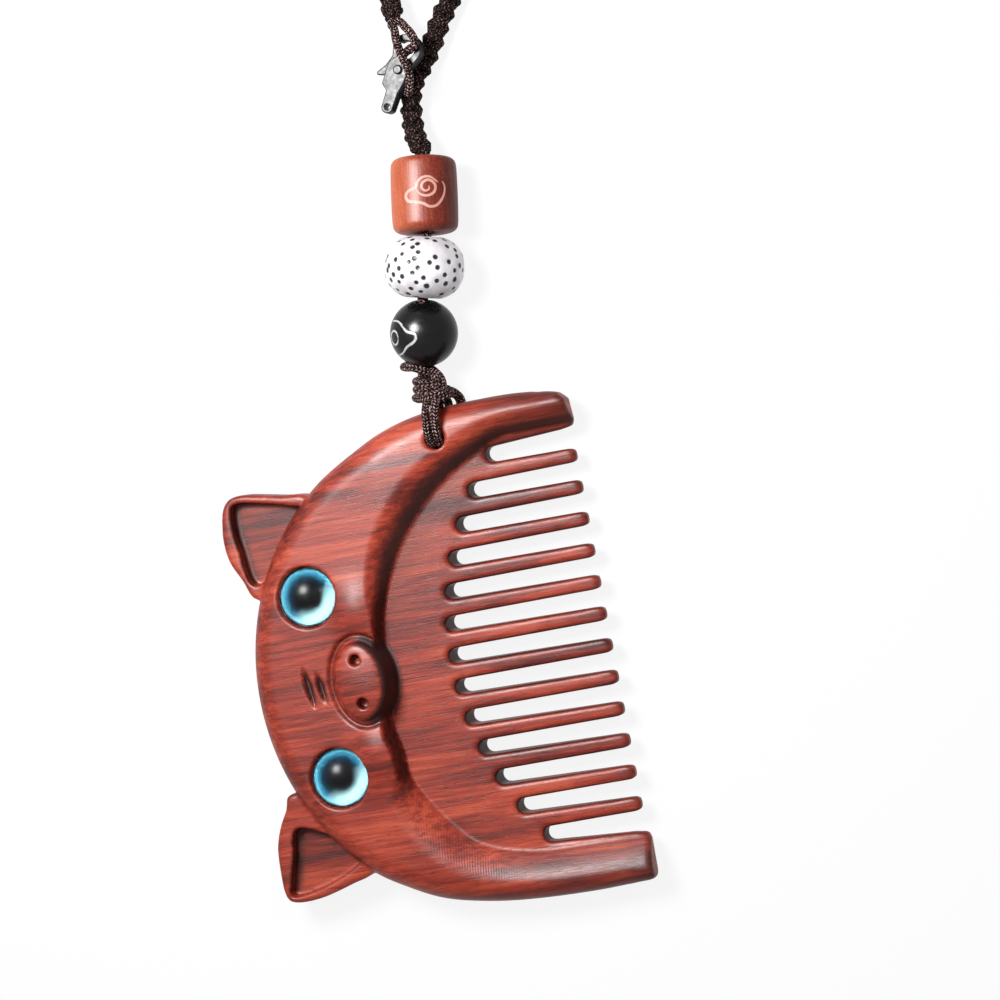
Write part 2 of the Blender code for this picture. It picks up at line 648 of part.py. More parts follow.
def crease_cutter(index, middle, length, width, cutters):
    work = bmesh.new()
    bmesh.ops.create_uvsphere(work, u_segments=16, v_segments=8, radius=1.0)
    crease = put(object_from_bmesh(f"crease_{index}", work), cutters)
    place = Matrix.Translation((middle[0] * MM, middle[1] * MM, FACE_TOP + CREASE_DEPTH * CREASE_LIFT))
    turn = Matrix.Rotation(math.radians(CREASE_TURN), 4, "Z")
    size = Matrix.Diagonal((length / 2 * MM, width / 2 * MM, CREASE_DEPTH * (1 + CREASE_LIFT), 1.0))
    crease.data.transform(place @ turn @ size)
    return crease


def make_comb(parts, cutters, wood):
    comb = put(comb_blank(), parts, wood)
    boolean(comb, step_cutter(cutters), "DIFFERENCE")
    apply_modifiers(comb)
    boolean(comb, make_ear("right_ear", RIGHT_EAR, RIGHT_EAR_HOLLOW, cutters), "UNION")
    boolean(comb, make_ear("left_ear", LEFT_EAR, LEFT_EAR_HOLLOW, cutters), "UNION")
    boolean(comb, make_snout(cutters), "UNION")
    apply_modifiers(comb)
    above = FACE_TOP + BEYOND_TIPS
    for side_name, place in EYE_PLACES.items():
        socket = cylinder(
            "socket_" + side_name, place, EYE_DIAMETER + 2 * GAP, FACE_TOP - EYE_SOCKET_DEPTH, above, 40
        )
        boolean(comb, put(socket, cutters), "DIFFERENCE")
    for side in (1, -1):
        place = SNOUT_CENTRE + Vector((side * NOSTRIL_SPACING / 2, 0.0))
        nostril = cylinder("nostril", place, NOSTRIL_DIAMETER, SNOUT_TOP - NOSTRIL_DEPTH, above, 20)
        boolean(comb, put(nostril, cutters), "DIFFERENCE")
    for index, (middle, length, width) in enumerate(CREASES):
        boolean(comb, crease_cutter(index, middle, length, width, cutters), "DIFFERENCE")
    hole = cylinder("cord_hole", HOLE_PLACE, HOLE_DIAMETER, -BEYOND_TIPS, above, 24)
    boolean(comb, put(hole, cutters), "DIFFERENCE")
    slots = flat_outline("slots", slots_outline(), -BEYOND_TIPS, above)
    boolean(comb, put(slots, cutters), "DIFFERENCE")
    apply_modifiers(comb)
    shade_round(comb)


# The eyes

def make_eyes(parts, glass, blue):
    floor = FACE_TOP - EYE_SOCKET_DEPTH
    iris_low = floor + GAP
    glass_low = iris_low + IRIS_THICKNESS + GAP
    radius = EYE_DIAMETER / 2
    dome_radius = (radius ** 2 + EYE_DOME_HEIGHT ** 2) / (2 * EYE_DOME_HEIGHT)
    spread = math.asin(radius / dome_radius)
    profile = [(0.0, 0.0), (radius, 0.0), (radius, EYE_EDGE_HEIGHT)]
    rings = 7
    for index in range(1, rings + 1):
        angle = spread * (1 - index / rings)
        height = EYE_EDGE_HEIGHT + EYE_DOME_HEIGHT - dome_radius * (1 - math.cos(angle))
        profile.append((dome_radius * math.sin(angle), height))
    profile[-1] = (0.0, EYE_EDGE_HEIGHT + EYE_DOME_HEIGHT)
    for side_name, place in EYE_PLACES.items():
        dome = turned("eye_glass_" + side_name, list(reversed(profile)), 36, parts, glass)
        dome.location = (*place, glass_low)
        shade_round(dome)
        iris = cylinder(
            "eye_iris_" + side_name, place, EYE_DIAMETER - 2 * GAP, iris_low, iris_low + IRIS_THICKNESS, 32
        )
        put(iris, parts, blue)


# The cord through the hole, and the knot

def strand_route(side):
    """One thin loop: from the knot over the front of the horn, down the hole and back underneath.

    Its places are read along the strands' heading from the hole.
    """
    way = heading_vector(KNOT_HEADING)
    hole = Vector((*HOLE_PLACE, 0.0))
    at_knot = KNOT_CENTRE - way * (KNOT_LENGTH / 2 + KNOT_TO_STRANDS)
    line = heading_vector(STRAND_HEADING)
    across = Vector((-line.y, line.x, 0.0)) * (side * STRAND_SPACING / 2)
    radius = STRAND_DIAMETER / 2
    top = over_height(HOLE_PLACE.x, HOLE_PLACE.y + STRAND_SPACING) + GAP + radius
    bottom = HORN_UNDERSIDE - 2 * GAP - radius
    rim = right_edge_at(HOLE_PLACE.y) - HOLE_PLACE.x + STRAND_SLACK
    inside = HOLE_DIAMETER / 2 - radius - STRAND_INSET
    bend = metres(STRAND_BEND)
    over = [(rim + step.x, top - step.y) for step in metres(STRAND_OVER)]
    turn_in = [(inside + step.x, top - step.y) for step in bend]
    turn_out = [(inside + step.x, bottom + step.y) for step in reversed(bend)]
    under = [(rim + step.x, bottom + step.y) for step in metres(STRAND_UNDER)]
    places = over + turn_in + [(inside, (top + bottom) / 2)] + turn_out + under
    route = [hole + line * along + across + Vector((0.0, 0.0, height)) for along, height in places]
    aside = Vector((-way.y, way.x, 0.0)) * (side * STRAND_SPACING / 2)
    ends = [at_knot + aside + Vector((0.0, 0.0, up * KNOT_DIAMETER / 4)) for up in (1, -1)]
    return [ends[0]] + route + [ends[1]]


def right_edge_at(y):
    """How far the comb reaches to +X at y."""
    edge = smooth_points(metres(RIGHT_HORN), CURVE_STEP)
    return read_line([Vector((point.y, point.x)) for point in edge], y)


def make_hole_strands(parts, cord):
    strands = []
    for name, side in (("right", -1), ("left", 1)):
        points = smooth_points(strand_route(side), THIN_CORD_SPACING)
        strands.append(put(tube("hole_strand_" + name, points, STRAND_DIAMETER), parts, cord))
    return strands


def make_knot(parts, cord):
    """A plain lump the size of the knot, and the cut end of cord beside it."""
    steps = 9
    profile = []
    for index in range(steps + 1):
        angle = math.pi * index / steps
        swell = 1.0 + KNOT_SWELL * math.cos(4 * angle)
        radius = KNOT_DIAMETER / 2 * math.sin(angle) ** KNOT_BLUNTNESS * swell
        profile.append((radius, KNOT_LENGTH / 2 * math.cos(angle)))
    profile[0] = (0.0, KNOT_LENGTH / 2)
    profile[-1] = (0.0, -KNOT_LENGTH / 2)
    knot = turned("neck_knot", profile, 24, parts, cord)
    knot.matrix_world = Matrix.Translation(KNOT_CENTRE) @ aim(heading_vector(KNOT_HEADING))
    shade_round(knot)
    tail = tube("knot_tail", smooth_points(metres(KNOT_TAIL_ROUTE), THIN_CORD_SPACING), KNOT_TAIL_DIAMETER)
    return [knot, put(tail, parts, cord)]


def aim(direction):
    """The turn that takes Z to a direction."""
    return direction.to_track_quat("Z", "Y").to_matrix().to_4x4()


# The beads

def bead_row():
    """Each bead's middle and direction, with every bead resting on the table."""
    black_radius = BLACK_BEAD_DIAMETER / 2 + GAP / 2
    bodhi_radius = BODHI_BEAD_DIAMETER / 2 + GAP / 2
    pitch = math.degrees(math.asin((bodhi_radius - black_radius) / ((BLACK_BEAD_LENGTH + GAP) / 2)))
    start = Vector((*BEAD_ROW_START, 0.0))
    black_way = heading_vector(BLACK_HEADING, pitch)
    black = start + black_way * (BLACK_BEAD_LENGTH / 2)
    black.z = black_radius
    bodhi_way = heading_vector(BODHI_HEADING)
    join = black + black_way * ((BLACK_BEAD_LENGTH + BLACK_TO_BODHI) / 2)
    bodhi = join + bodhi_way * ((BODHI_BEAD_LENGTH + BLACK_TO_BODHI) / 2)
    bodhi.z = bodhi_radius
    barrel_pitch = barrel_drop(bodhi_radius)
    barrel_way = heading_vector(BARREL_HEADING, -barrel_pitch)
    join = bodhi + bodhi_way * ((BODHI_BEAD_LENGTH + BODHI_TO_BARREL) / 2)
    barrel = join + barrel_way * ((BARREL_BEAD_LENGTH + BODHI_TO_BARREL) / 2)
    return {
        "black_bead": (black, black_way), "bodhi_bead": (bodhi, bodhi_way), "barrel_bead": (barrel, barrel_way),
    }


def barrel_drop(height):
    """The pitch at which the barrel leans down from the seed bead until its far rim meets the table."""
    reach = BARREL_BEAD_LENGTH + BODHI_TO_BARREL / 2 - BARREL_EDGE_ROUNDING
    radius = BARREL_BEAD_DIAMETER / 2 - BARREL_EDGE_ROUNDING
    level = height - BARREL_EDGE_ROUNDING - GAP / 2
    return math.degrees(math.asin(level / math.hypot(reach, radius)) - math.atan2(radius, reach))


def round_bead_profile(diameter, length, end_width, roundness):
    """A bead with round sides and flat ends at its bore."""
    bore = BEAD_BORE / 2
    power = 2 / roundness
    start = math.acos(((bore + end_width) / (diameter / 2)) ** (1 / power))
    profile = [(bore, -length / 2)]
    steps = 10
    for index in range(steps + 1):
        angle = -start + 2 * start * index / steps
        height = length / 2 * (abs(math.sin(angle)) / math.sin(start)) ** power
        profile.append((diameter / 2 * math.cos(angle) ** power, math.copysign(height, angle)))
    profile.append((bore, length / 2))
    return list(reversed(profile))


def barrel_profile():
    bore = BEAD_BORE / 2
    radius = BARREL_BEAD_DIAMETER / 2
    half = BARREL_BEAD_LENGTH / 2
    edge = BARREL_EDGE_ROUNDING
    corner = arc_points(Vector((radius - edge, half - edge)), edge, 90, 0, 4)
    lower = [Vector((point.x, -point.y)) for point in reversed(corner)]
    return [(bore, half)] + [tuple(point) for point in corner + lower] + [(bore, -half)]


def make_beads(parts, black, seed, lacquer):
    row = bead_row()
    beads = []
    profiles = {
        "black_bead": (
            round_bead_profile(BLACK_BEAD_DIAMETER, BLACK_BEAD_LENGTH, BLACK_END_WIDTH, BLACK_ROUNDNESS), black,
        ),
        "bodhi_bead": (
            round_bead_profile(BODHI_BEAD_DIAMETER, BODHI_BEAD_LENGTH, BODHI_END_WIDTH, BODHI_ROUNDNESS), seed,
        ),
        "barrel_bead": (barrel_profile(), lacquer),
    }
    for name, (profile, material) in profiles.items():
        middle, way = row[name]
        bead = turned(name, profile, 28, parts, material)
        bead.matrix_world = Matrix.Translation(middle) @ aim(way)
        shade_round(bead)
        beads.append(bead)
    return beads


def make_bead_cord(parts, cord):
    """The cord inside the beads, straight in each bore and bent between the beads."""
    row = bead_row()
    black, black_way = row["black_bead"]
    bodhi, bodhi_way = row["bodhi_bead"]
    barrel, barrel_way = row["barrel_bead"]
    points = [
        black - black_way * (BLACK_BEAD_LENGTH / 2 + GAP),
        black,
        black + black_way * ((BLACK_BEAD_LENGTH + BLACK_TO_BODHI) / 2),
        bodhi,
        bodhi + bodhi_way * ((BODHI_BEAD_LENGTH + BODHI_TO_BARREL) / 2),
        barrel,
        barrel + barrel_way * (BARREL_BEAD_LENGTH / 2),
    ]
    return put(tube("bead_cord", points, BEAD_CORD_DIAMETER), parts, cord)


# The braid and the two legs of the link

def make_braid(parts, cord):
    barrel, barrel_way = bead_row()["barrel_bead"]
    start = barrel + barrel_way * (BARREL_BEAD_LENGTH / 2 + GAP)
    loop = [Vector((*place, BRAID_HEIGHT)) for place in metres(BRAID_LOOP)]
    route = [start, start + barrel_way * BRAID_LEAD] + metres(BRAID_START) + loop + metres(BRAID_END)
    return put(tube("braided_cord", smooth_points(route, BRAID_POINT_SPACING), BRAID_DIAMETER), parts, cord)


def make_link(parts, cord):
    legs = []
    for name, route in (("link_leg_front", LINK_FRONT_ROUTE), ("link_leg_back", LINK_BACK_ROUTE)):
        points = smooth_points(metres(route), THIN_CORD_SPACING)
        legs.append(put(tube(name, points, LINK_DIAMETER), parts, cord))
    return legs


# The clasp

def on_braid(place):
    """A place in the clasp's middle plane, with the clasp lying flat on the braid."""
    return Vector((*place, BRAID_HEIGHT + BRAID_DIAMETER / 2 + GAP + CLASP_THICKNESS / 2))


def clasp_matrix():
    return Matrix.Translation(on_braid(CLASP_PLACE)) @ Matrix.Rotation(math.radians(CLASP_HEADING), 4, "Z")


def clasp_eye():
    """The middle of the small hole in the clasp's tail."""
    return Vector((CLASP_RING_RADIUS - CLASP_LENGTH + CLASP_TAIL_HALF_WIDTH, 0.0))


def clasp_outline():
    """The hook and the body in the clasp's own frame, as one C-shaped outline."""
    centre = Vector((0.0, 0.0))
    inner = CLASP_RING_RADIUS - CLASP_RING_BAR
    open_from, open_to = CLASP_GATE_ANGLES
    points = arc_points(centre, CLASP_RING_RADIUS, open_from, CLASP_NECK_ANGLE, 14) + metres(CLASP_UNDER)
    points += arc_points(clasp_eye(), CLASP_TAIL_HALF_WIDTH, -90, -270, 8)[1:-1] + metres(CLASP_OVER)
    return points + arc_points(centre, inner, open_to, FULL_TURN + open_from, 16)


def lever_outline():
    """The gate arm, the round boss at the rivet and the thumb nub, as one outline."""
    middle = CLASP_RING_RADIUS - CLASP_RING_BAR / 2
    tip_angle = math.radians(CLASP_GATE_ANGLES[0]) + 3 * GAP / middle
    tip = middle * Vector((math.cos(tip_angle), math.sin(tip_angle)))
    boss = arc_points(RIVET_PLACE, LEVER_BOSS_RADIUS, *LEVER_BOSS_ANGLES, 6)
    end = [tip + offset for offset in metres(LEVER_TIP)]
    return boss + metres(LEVER_ARM) + end + metres(LEVER_BACK)


def make_clasp(parts, cutters, metal):
    place = clasp_matrix()
    half = CLASP_THICKNESS / 2
    body = put(flat_outline("clasp_body", clasp_outline(), -half, half), parts, metal)
    round_rims(body, CLASP_EDGE_ROUNDING, 2)
    apply_modifiers(body)
    slot_half = LEVER_THICKNESS / 2 + GAP
    low, high = metres(CLASP_SLOT)
    slot = box("lever_slot", (*low, -slot_half), (*high, slot_half))
    eye = cylinder("tail_eye", clasp_eye(), CLASP_EYE_DIAMETER, -2 * half, 2 * half, 16)
    rivet_hole = cylinder("rivet_hole", RIVET_PLACE, RIVET_DIAMETER + 2 * GAP, -2 * half, 2 * half, 16)
    for cutter in (slot, eye, rivet_hole):
        boolean(body, put(cutter, cutters), "DIFFERENCE")
    apply_modifiers(body)
    body.matrix_world = place
    shade_round(body)
    lever = flat_outline("clasp_lever", lever_outline(), -LEVER_THICKNESS / 2, LEVER_THICKNESS / 2)
    put(lever, parts, metal)
    boolean(lever, rivet_hole, "DIFFERENCE")
    apply_modifiers(lever)
    at_rivet = Matrix.Translation((*RIVET_PLACE, 0.0))
    lever.data.transform(at_rivet.inverted())
    lever.matrix_world = place @ at_rivet
    for cutter in (slot, eye, rivet_hole):
        cutter.matrix_world = place
    return [body, lever, make_rivet(place @ at_rivet, parts, metal), make_spring(place, parts, metal)]


def make_rivet(place, parts, metal):
    pin = RIVET_DIAMETER / 2
    head = RIVET_HEAD_DIAMETER / 2
    inner = CLASP_THICKNESS / 2 + GAP
    outer = inner + RIVET_HEAD_HEIGHT
    profile = [(0.0, outer), (head * RIVET_HEAD_TAPER, outer), (head, inner), (pin, inner)]
    profile += [(radius, -height) for radius, height in reversed(profile)]
    rivet = turned("clasp_rivet", profile, 20, parts, metal)
    rivet.matrix_world = place
    return rivet


def make_spring(place, parts, metal):
    """The small coil that holds the gate shut, in the body's slot beside the rivet."""
    radius = (SPRING_DIAMETER - SPRING_WIRE) / 2
    count = SPRING_TURNS * 9
    points = []
    for index in range(count + 1):
        turn = 2 * math.pi * SPRING_TURNS * index / count
        along = SPRING_LENGTH * index / count
        points.append(SPRING_START + Vector((along, radius * math.cos(turn), radius * math.sin(turn))))
    spring = put(tube("clasp_spring", points, SPRING_WIRE, 1), parts, metal)
    spring.matrix_world = place
    print("least gap between the spring's turns, mm:", (SPRING_LENGTH / SPRING_TURNS - SPRING_WIRE) / MM)
    return spring


def hang_from(name, place, children, parts):
    """Parents pieces to an empty on the axis that they move about."""
    pivot = bpy.data.objects.new(name, None)
    pivot.location = place
    pivot.empty_display_size = 5 * MM
    parts.objects.link(pivot)
    bpy.context.view_layer.update()
    for child in children:
        child.parent = pivot
        child.matrix_parent_inverse = pivot.matrix_world.inverted()
    return pivot


def main():
    clear_scene()
    parts = make_collection("wooden_comb")
    cutters = make_collection("cutters")
    wood = make_material("red_wood", (0.36, 0.07, 0.035), 0.42)
    glass = make_material("eye_glass", (0.75, 0.88, 0.92), 0.05)
    blue = make_material("iris_blue", (0.05, 0.32, 0.45), 0.35)
    cord = make_material("brown_cord", (0.045, 0.022, 0.018), 0.7)
    black = make_material("black_stone", (0.012, 0.012, 0.014), 0.15)
    seed = make_material("white_seed", (0.72, 0.7, 0.68), 0.45)
    lacquer = make_material("orange_wood", (0.5, 0.1, 0.04), 0.35)
    metal = make_material("black_metal", (0.02, 0.02, 0.022), 0.35, 0.8)
    make_comb(parts, cutters, wood)
    make_eyes(parts, glass, blue)
    beads = make_beads(parts, black, seed, lacquer)
    cords = make_hole_strands(parts, cord) + make_knot(parts, cord) + make_link(parts, cord)
    cords += [make_bead_cord(parts, cord), make_braid(parts, cord)]
    clasp = make_clasp(parts, cutters, metal)
    clasp_pivot = hang_from("clasp_pivot", on_braid(CLASP_SWING_PLACE), clasp, parts)
    hang_from("lanyard_pivot", (*HOLE_PLACE, 0.0), cords + beads + [clasp_pivot], parts)


main()
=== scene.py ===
"""A wooden comb carved with a pig's face, with its beaded lanyard, lying on a white table."""

import itertools
import math

import bmesh
import bpy
import numpy as np
from mathutils import Matrix, Vector


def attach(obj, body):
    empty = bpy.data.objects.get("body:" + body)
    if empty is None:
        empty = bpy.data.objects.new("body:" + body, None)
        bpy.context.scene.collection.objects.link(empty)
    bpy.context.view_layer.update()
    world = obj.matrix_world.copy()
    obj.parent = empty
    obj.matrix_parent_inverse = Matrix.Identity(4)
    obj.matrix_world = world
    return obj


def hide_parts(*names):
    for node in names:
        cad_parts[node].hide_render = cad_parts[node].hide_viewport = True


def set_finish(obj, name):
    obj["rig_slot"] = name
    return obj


MM = 0.001
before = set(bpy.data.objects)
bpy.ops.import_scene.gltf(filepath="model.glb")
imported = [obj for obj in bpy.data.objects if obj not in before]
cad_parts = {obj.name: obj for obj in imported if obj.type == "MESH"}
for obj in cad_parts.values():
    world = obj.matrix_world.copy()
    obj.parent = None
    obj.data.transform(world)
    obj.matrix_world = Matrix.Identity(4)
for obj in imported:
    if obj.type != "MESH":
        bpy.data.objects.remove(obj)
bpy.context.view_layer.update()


def placed(name, data):
    """A new object in the scene."""
    obj = bpy.data.objects.new(name, data)
    bpy.context.scene.collection.objects.link(obj)
    return obj


def shown(piece, node, finish, body):
    """Hides the solid that a piece stands for, gives the piece its finish, and hangs it on the body that it
    rides on.
    """
    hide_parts(node)
    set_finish(piece, finish)
    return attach(piece, body)


# The camera: it looks down on the comb, leaning towards the teeth, with the horn at the top of the picture

ROLL = math.radians(10.6)
TILT = math.radians(16.0)
CAMERA_TARGET = Vector((29.9, -21.45, 7.0)) * MM
CAMERA_DISTANCE = 555.6 * MM
LENS, SENSOR_WIDTH = 100.0, 36.0


def make_camera():
    length_way = Vector((1.0, 0.0, 0.0))
    tooth_way = Vector((0.0, math.cos(TILT), math.sin(TILT)))
    right = -math.sin(ROLL) * length_way - math.cos(ROLL) * tooth_way
    up = math.cos(ROLL) * length_way - math.sin(ROLL) * tooth_way
    back = right.cross(up)
    data = bpy.data.cameras.new("camera")
    data.lens = LENS
    data.sensor_width = SENSOR_WIDTH
    data.clip_start = 10.0 * MM
    camera = placed("camera", data)
    place = CAMERA_TARGET + back * CAMERA_DISTANCE
    camera.matrix_world = Matrix.Translation(place) @ Matrix((right, up, back)).transposed().to_4x4()
    bpy.context.scene.camera = camera


# Meshes from arrays. Every shape below is written in millimetres.

def mesh_object(name, shape, material):
    """A new object from points in millimetres, faces and, where it is a cord, its thread coordinates."""
    points, faces, *thread = shape
    mesh = bpy.data.meshes.new(name)
    mesh.from_pydata(np.asarray(points) * MM, [], faces if isinstance(faces, list) else faces.tolist())
    for uvs in thread:
        layer = mesh.uv_layers.new(name="thread")
        layer.data.foreach_set("uv", np.asarray(uvs, np.float32).ravel())
    mesh.materials.append(material)
    mesh.shade_smooth()
    return placed(name, mesh)


def smooth_line(points, spacing, closed=False):
    """Points on a smooth curve through the given points."""
    points = np.asarray(points, float)
    if closed:
        before, start = np.roll(points, 1, 0), points
        end, after = np.roll(points, -1, 0), np.roll(points, -2, 0)
    else:
        longer = np.vstack([2 * points[0] - points[1], points, 2 * points[-1] - points[-2]])
        before, start, end, after = longer[:-3], longer[1:-2], longer[2:-1], longer[3:]
    result = []
    for a, b, c, d in zip(before, start, end, after):
        steps = max(1, round(float(np.linalg.norm(c - b)) / spacing))
        t = np.arange(steps)[:, None] / steps
        bend = 2 * a - 5 * b + 4 * c - d
        twist = 3 * b - a - 3 * c + d
        result.append(0.5 * (2 * b + (c - a) * t + bend * t ** 2 + twist * t ** 3))
    if not closed:
        result.append(points[-1:])
    return np.vstack(result)


def distances(points):
    """How far along a line each of its points is."""
    return np.concatenate([[0.0], np.cumsum(np.linalg.norm(np.diff(points, axis=0), axis=1))])


def unit(rows):
    """The same directions, each with a length of 1."""
    return rows / np.linalg.norm(rows, axis=1)[:, None]


def even_line(points, spacing):
    """The same line with its points an even distance apart."""
    along = distances(points)
    count = max(2, round(along[-1] / spacing) + 1)
    at = np.linspace(0.0, along[-1], count)
    return np.stack([np.interp(at, along, points[:, axis]) for axis in range(points.shape[1])], 1)


def frames_along(points):
    """Two directions across a line at each of its points, that turn as little as they can."""
    tangents = unit(np.gradient(points, axis=0))
    side = np.array((0.0, 0.0, 1.0))
    sides = []
    for tangent in tangents:
        side = side - tangent * (side @ tangent)
        side = side / np.linalg.norm(side)
        sides.append(side)
    sides = np.array(sides)
    return sides, np.cross(tangents, sides)


def tube(points, radius, sides):
    """Points, faces and thread coordinates of a cord along a line."""
    points = np.asarray(points, float)
    ups, others = frames_along(points)
    radius = np.broadcast_to(radius, len(points))[:, None]
    angles = 2 * np.pi * np.arange(sides) / sides
    rings = [points + radius * (ups * math.cos(a) + others * math.sin(a)) for a in angles]
    verts = np.stack(rings, 1).reshape(-1, 3)
    along = distances(points)
    i, j = np.meshgrid(np.arange(len(points) - 1), np.arange(sides), indexing="ij")
    i, j = i.ravel(), j.ravel()
    after = (j + 1) % sides
    faces = np.stack([i * sides + j, i * sides + after, (i + 1) * sides + after, (i + 1) * sides + j], 1)
    low, high, at, to = j / sides, (j + 1) / sides, along[i], along[i + 1]
    uvs = np.stack([at, low, at, high, to, high, to, low], 1).reshape(-1, 2)
    start, end = len(verts), len(verts) + 1
    verts = np.vstack([verts, points[:1], points[-1:]])
    ring = np.arange(sides)
    turn = (ring + 1) % sides
    last = (len(points) - 1) * sides
    caps = np.vstack([np.stack([turn, ring, np.full(sides, start)], 1),
                      np.stack([last + ring, last + turn, np.full(sides, end)], 1)])
    faces = faces.tolist() + caps.tolist()
    return verts, faces, np.vstack([uvs, np.zeros((caps.size, 2))])


def join(parts):
    """Several meshes of points, faces and thread coordinates as one."""
    verts, faces, uvs, count = [], [], [], 0
    for points, polygons, thread in parts:
        faces += [[index + count for index in polygon] for polygon in polygons]
        verts.append(points)
        uvs.append(thread)
        count += len(points)
    return np.vstack(verts), faces, np.vstack(uvs)


def spun(profile, sides):
    """A (radius, height) profile turned about Z. It runs down the outside."""
    radius, height = np.asarray(profile, float).T
    angles = 2 * np.pi * np.arange(sides) / sides
    verts = np.vstack([np.stack([radius * math.cos(a), radius * math.sin(a), height], 1) for a in angles])
    count = len(profile)
    faces = []
    for side in range(sides):
        here, there = side * count, (side + 1) % sides * count
        for index in range(count - 1):
            faces.append((here + index, here + index + 1, there + index + 1, there + index))
    return verts, faces


# Materials

class Paint:
    """A material made of nodes that are added one at a time."""

    def __init__(self, name, colour, roughness, **fixed):
        self.material = bpy.data.materials.new(name)
        self.material.use_nodes = True
        self.tree = self.material.node_tree
        self.shader = self.tree.nodes["Principled BSDF"]
        self.shader.inputs["Base Color"].default_value = colour
        self.shader.inputs["Roughness"].default_value = roughness
        for socket, value in fixed.items():
            self.shader.inputs[socket.replace("_", " ")].default_value = value
        self.place = self.node("TexCoord").outputs["Object"]

    def node(self, kind, *inputs, **settings):
        made = self.tree.nodes.new("ShaderNode" + kind)
        for name, value in settings.items():
            setattr(made, name, value)
        for socket, value in inputs:
            self.give(made.inputs[socket], value)
        return made

    def give(self, socket, value):
        if isinstance(value, bpy.types.NodeSocket):
            self.tree.links.new(value, socket)
        else:
            socket.default_value = value

    def math(self, operation, *values):
        return self.node("Math", *enumerate(values), operation=operation).outputs[0]

    def plus(self, a, b):
        return self.math("ADD", a, b)

    def times(self, a, b):
        return self.math("MULTIPLY", a, b)

    def grains(self, sizes, detail=2.0, distortion=0.0):
        """Noise whose grains have these sizes in millimetres along X, Y and Z."""
        scale = tuple(1.0 / (size * MM) for size in sizes)
        return self.node("TexNoise", ("Vector", self.stretched(scale)), ("Scale", 1.0), ("Detail", detail),
                         ("Distortion", distortion)).outputs["Fac"]

    def stretched(self, scale):
        """The place on the object, with each axis scaled."""
        return self.node("VectorMath", (0, self.place), (1, scale), operation="MULTIPLY").outputs[0]

    def ramp(self, value, *stops):
        """Numbers or colours between stops of (place, number or colour)."""
        made = self.node("ValToRGB", (0, value))
        elements = made.color_ramp.elements
        while len(elements) < len(stops):
            elements.new(0.5)
        for element, (place, shade) in zip(elements, stops):
            element.position = place
            element.color = shade if isinstance(shade, tuple) else (shade, shade, shade, 1.0)
        return made.outputs[0]

    def mix(self, share, a, b, blend="MIX"):
        made = self.node("Mix", (0, share), (6, a), (7, b), data_type="RGBA", blend_type=blend)
        return made.outputs[2]

    def bump(self, height, distance):
        made = self.node("Bump", ("Height", height), ("Distance", distance * MM))
        self.give(self.shader.inputs["Normal"], made.outputs[0])

    def mark(self, name):
        """A number kept at each of the mesh's points."""
        return self.node("Attribute", attribute_name=name).outputs["Fac"]

    def colour(self, value):
        self.give(self.shader.inputs["Base Color"], value)

    def roughness(self, value):
        self.give(self.shader.inputs["Roughness"], value)


def rgb(*steps):
    """A colour from its red, green and blue in the usual steps of 255."""
    return (*((step / 255) ** 2.2 for step in steps), 1.0)


MILLED_SCALE = (60.0, 620.0, 60.0)


def red_wood():
    paint = Paint("rosewood", rgb(150, 55, 42), 0.45, Specular_IOR_Level=0.2)
    figure = paint.grains((5.5, 60.0, 6.0), 3.0, 0.5)
    streaks = paint.grains((0.9, 26.0, 1.2), 3.0, 0.3)
    fibres = paint.grains((0.22, 6.0, 0.35), 2.0)
    pores = paint.grains((0.16, 2.0, 0.4), 1.0)
    blend = paint.plus(paint.times(figure, 0.55), paint.times(streaks, 0.45))
    blend = paint.plus(blend, paint.times(paint.math("SUBTRACT", fibres, 0.5), 0.22))
    base = paint.ramp(blend, (0.34, rgb(78, 30, 26)), (0.45, rgb(118, 43, 33)), (0.54, rgb(148, 55, 40)),
                      (0.66, rgb(176, 76, 53)))
    speck = paint.ramp(pores, (0.60, 1.0), (0.70, 0.5))
    base = paint.mix(1.0, base, speck, "MULTIPLY")
    # The hollow mark is painted shade: it darkens the wood towards near black
    hollow = paint.mark("hollow")
    paint.colour(paint.mix(paint.ramp(hollow, (0.0, 0.0), (1.0, 0.93)), base, rgb(22, 12, 11)))
    dull = paint.times(hollow, 0.6)
    paint.roughness(paint.math("MAXIMUM", paint.ramp(fibres, (0.3, 0.36), (0.7, 0.48)), dull))
    milled = paint.node("TexWave", ("Vector", paint.stretched(MILLED_SCALE)), ("Scale", 1.0),
                        ("Distortion", 0.6), bands_direction="Y")
    lines = paint.times(milled.outputs["Fac"], paint.mark("milled"))
    height = paint.plus(paint.times(fibres, 0.4), paint.times(speck, 0.3))
    height = paint.plus(height, paint.times(lines, 0.3))
    paint.bump(height, 0.05)
    return paint.material


def woven(name, dark, light, stitch, columns):
    """Fine woven cord: columns of slanted stitches that meet in herringbones, each stitch so many mm long."""
    paint = Paint(name, dark, 0.65, Specular_IOR_Level=0.05)
    thread = paint.node("UVMap", uv_map="thread").outputs[0]
    parts = paint.node("SeparateXYZ", (0, thread))
    along = paint.math("DIVIDE", parts.outputs[0], stitch)
    across = paint.times(parts.outputs[1], columns)
    column = paint.math("PINGPONG", across, 0.5)
    slant = paint.plus(along, paint.times(column, 1.6))
    ridge = paint.math("ABSOLUTE", paint.math("SINE", paint.times(slant, math.pi)))
    seam = paint.ramp(column, (0.0, 0.2), (0.12, 1.0), (0.42, 1.0), (0.5, 0.3))
    height = paint.times(ridge, seam)
    frayed = paint.grains((0.5, 0.5, 0.5), 3.0)
    # Painted highlight: the tops of the stitches take the light colour
    painted_stitch_highlight = paint.times(paint.ramp(height, (0.6, 0.0), (0.98, 1.0)),
                     paint.ramp(frayed, (0.44, 0.05), (0.6, 1.0)))
    paint.colour(paint.mix(painted_stitch_highlight, dark, light))
    paint.bump(height, 0.18)
    return paint.material


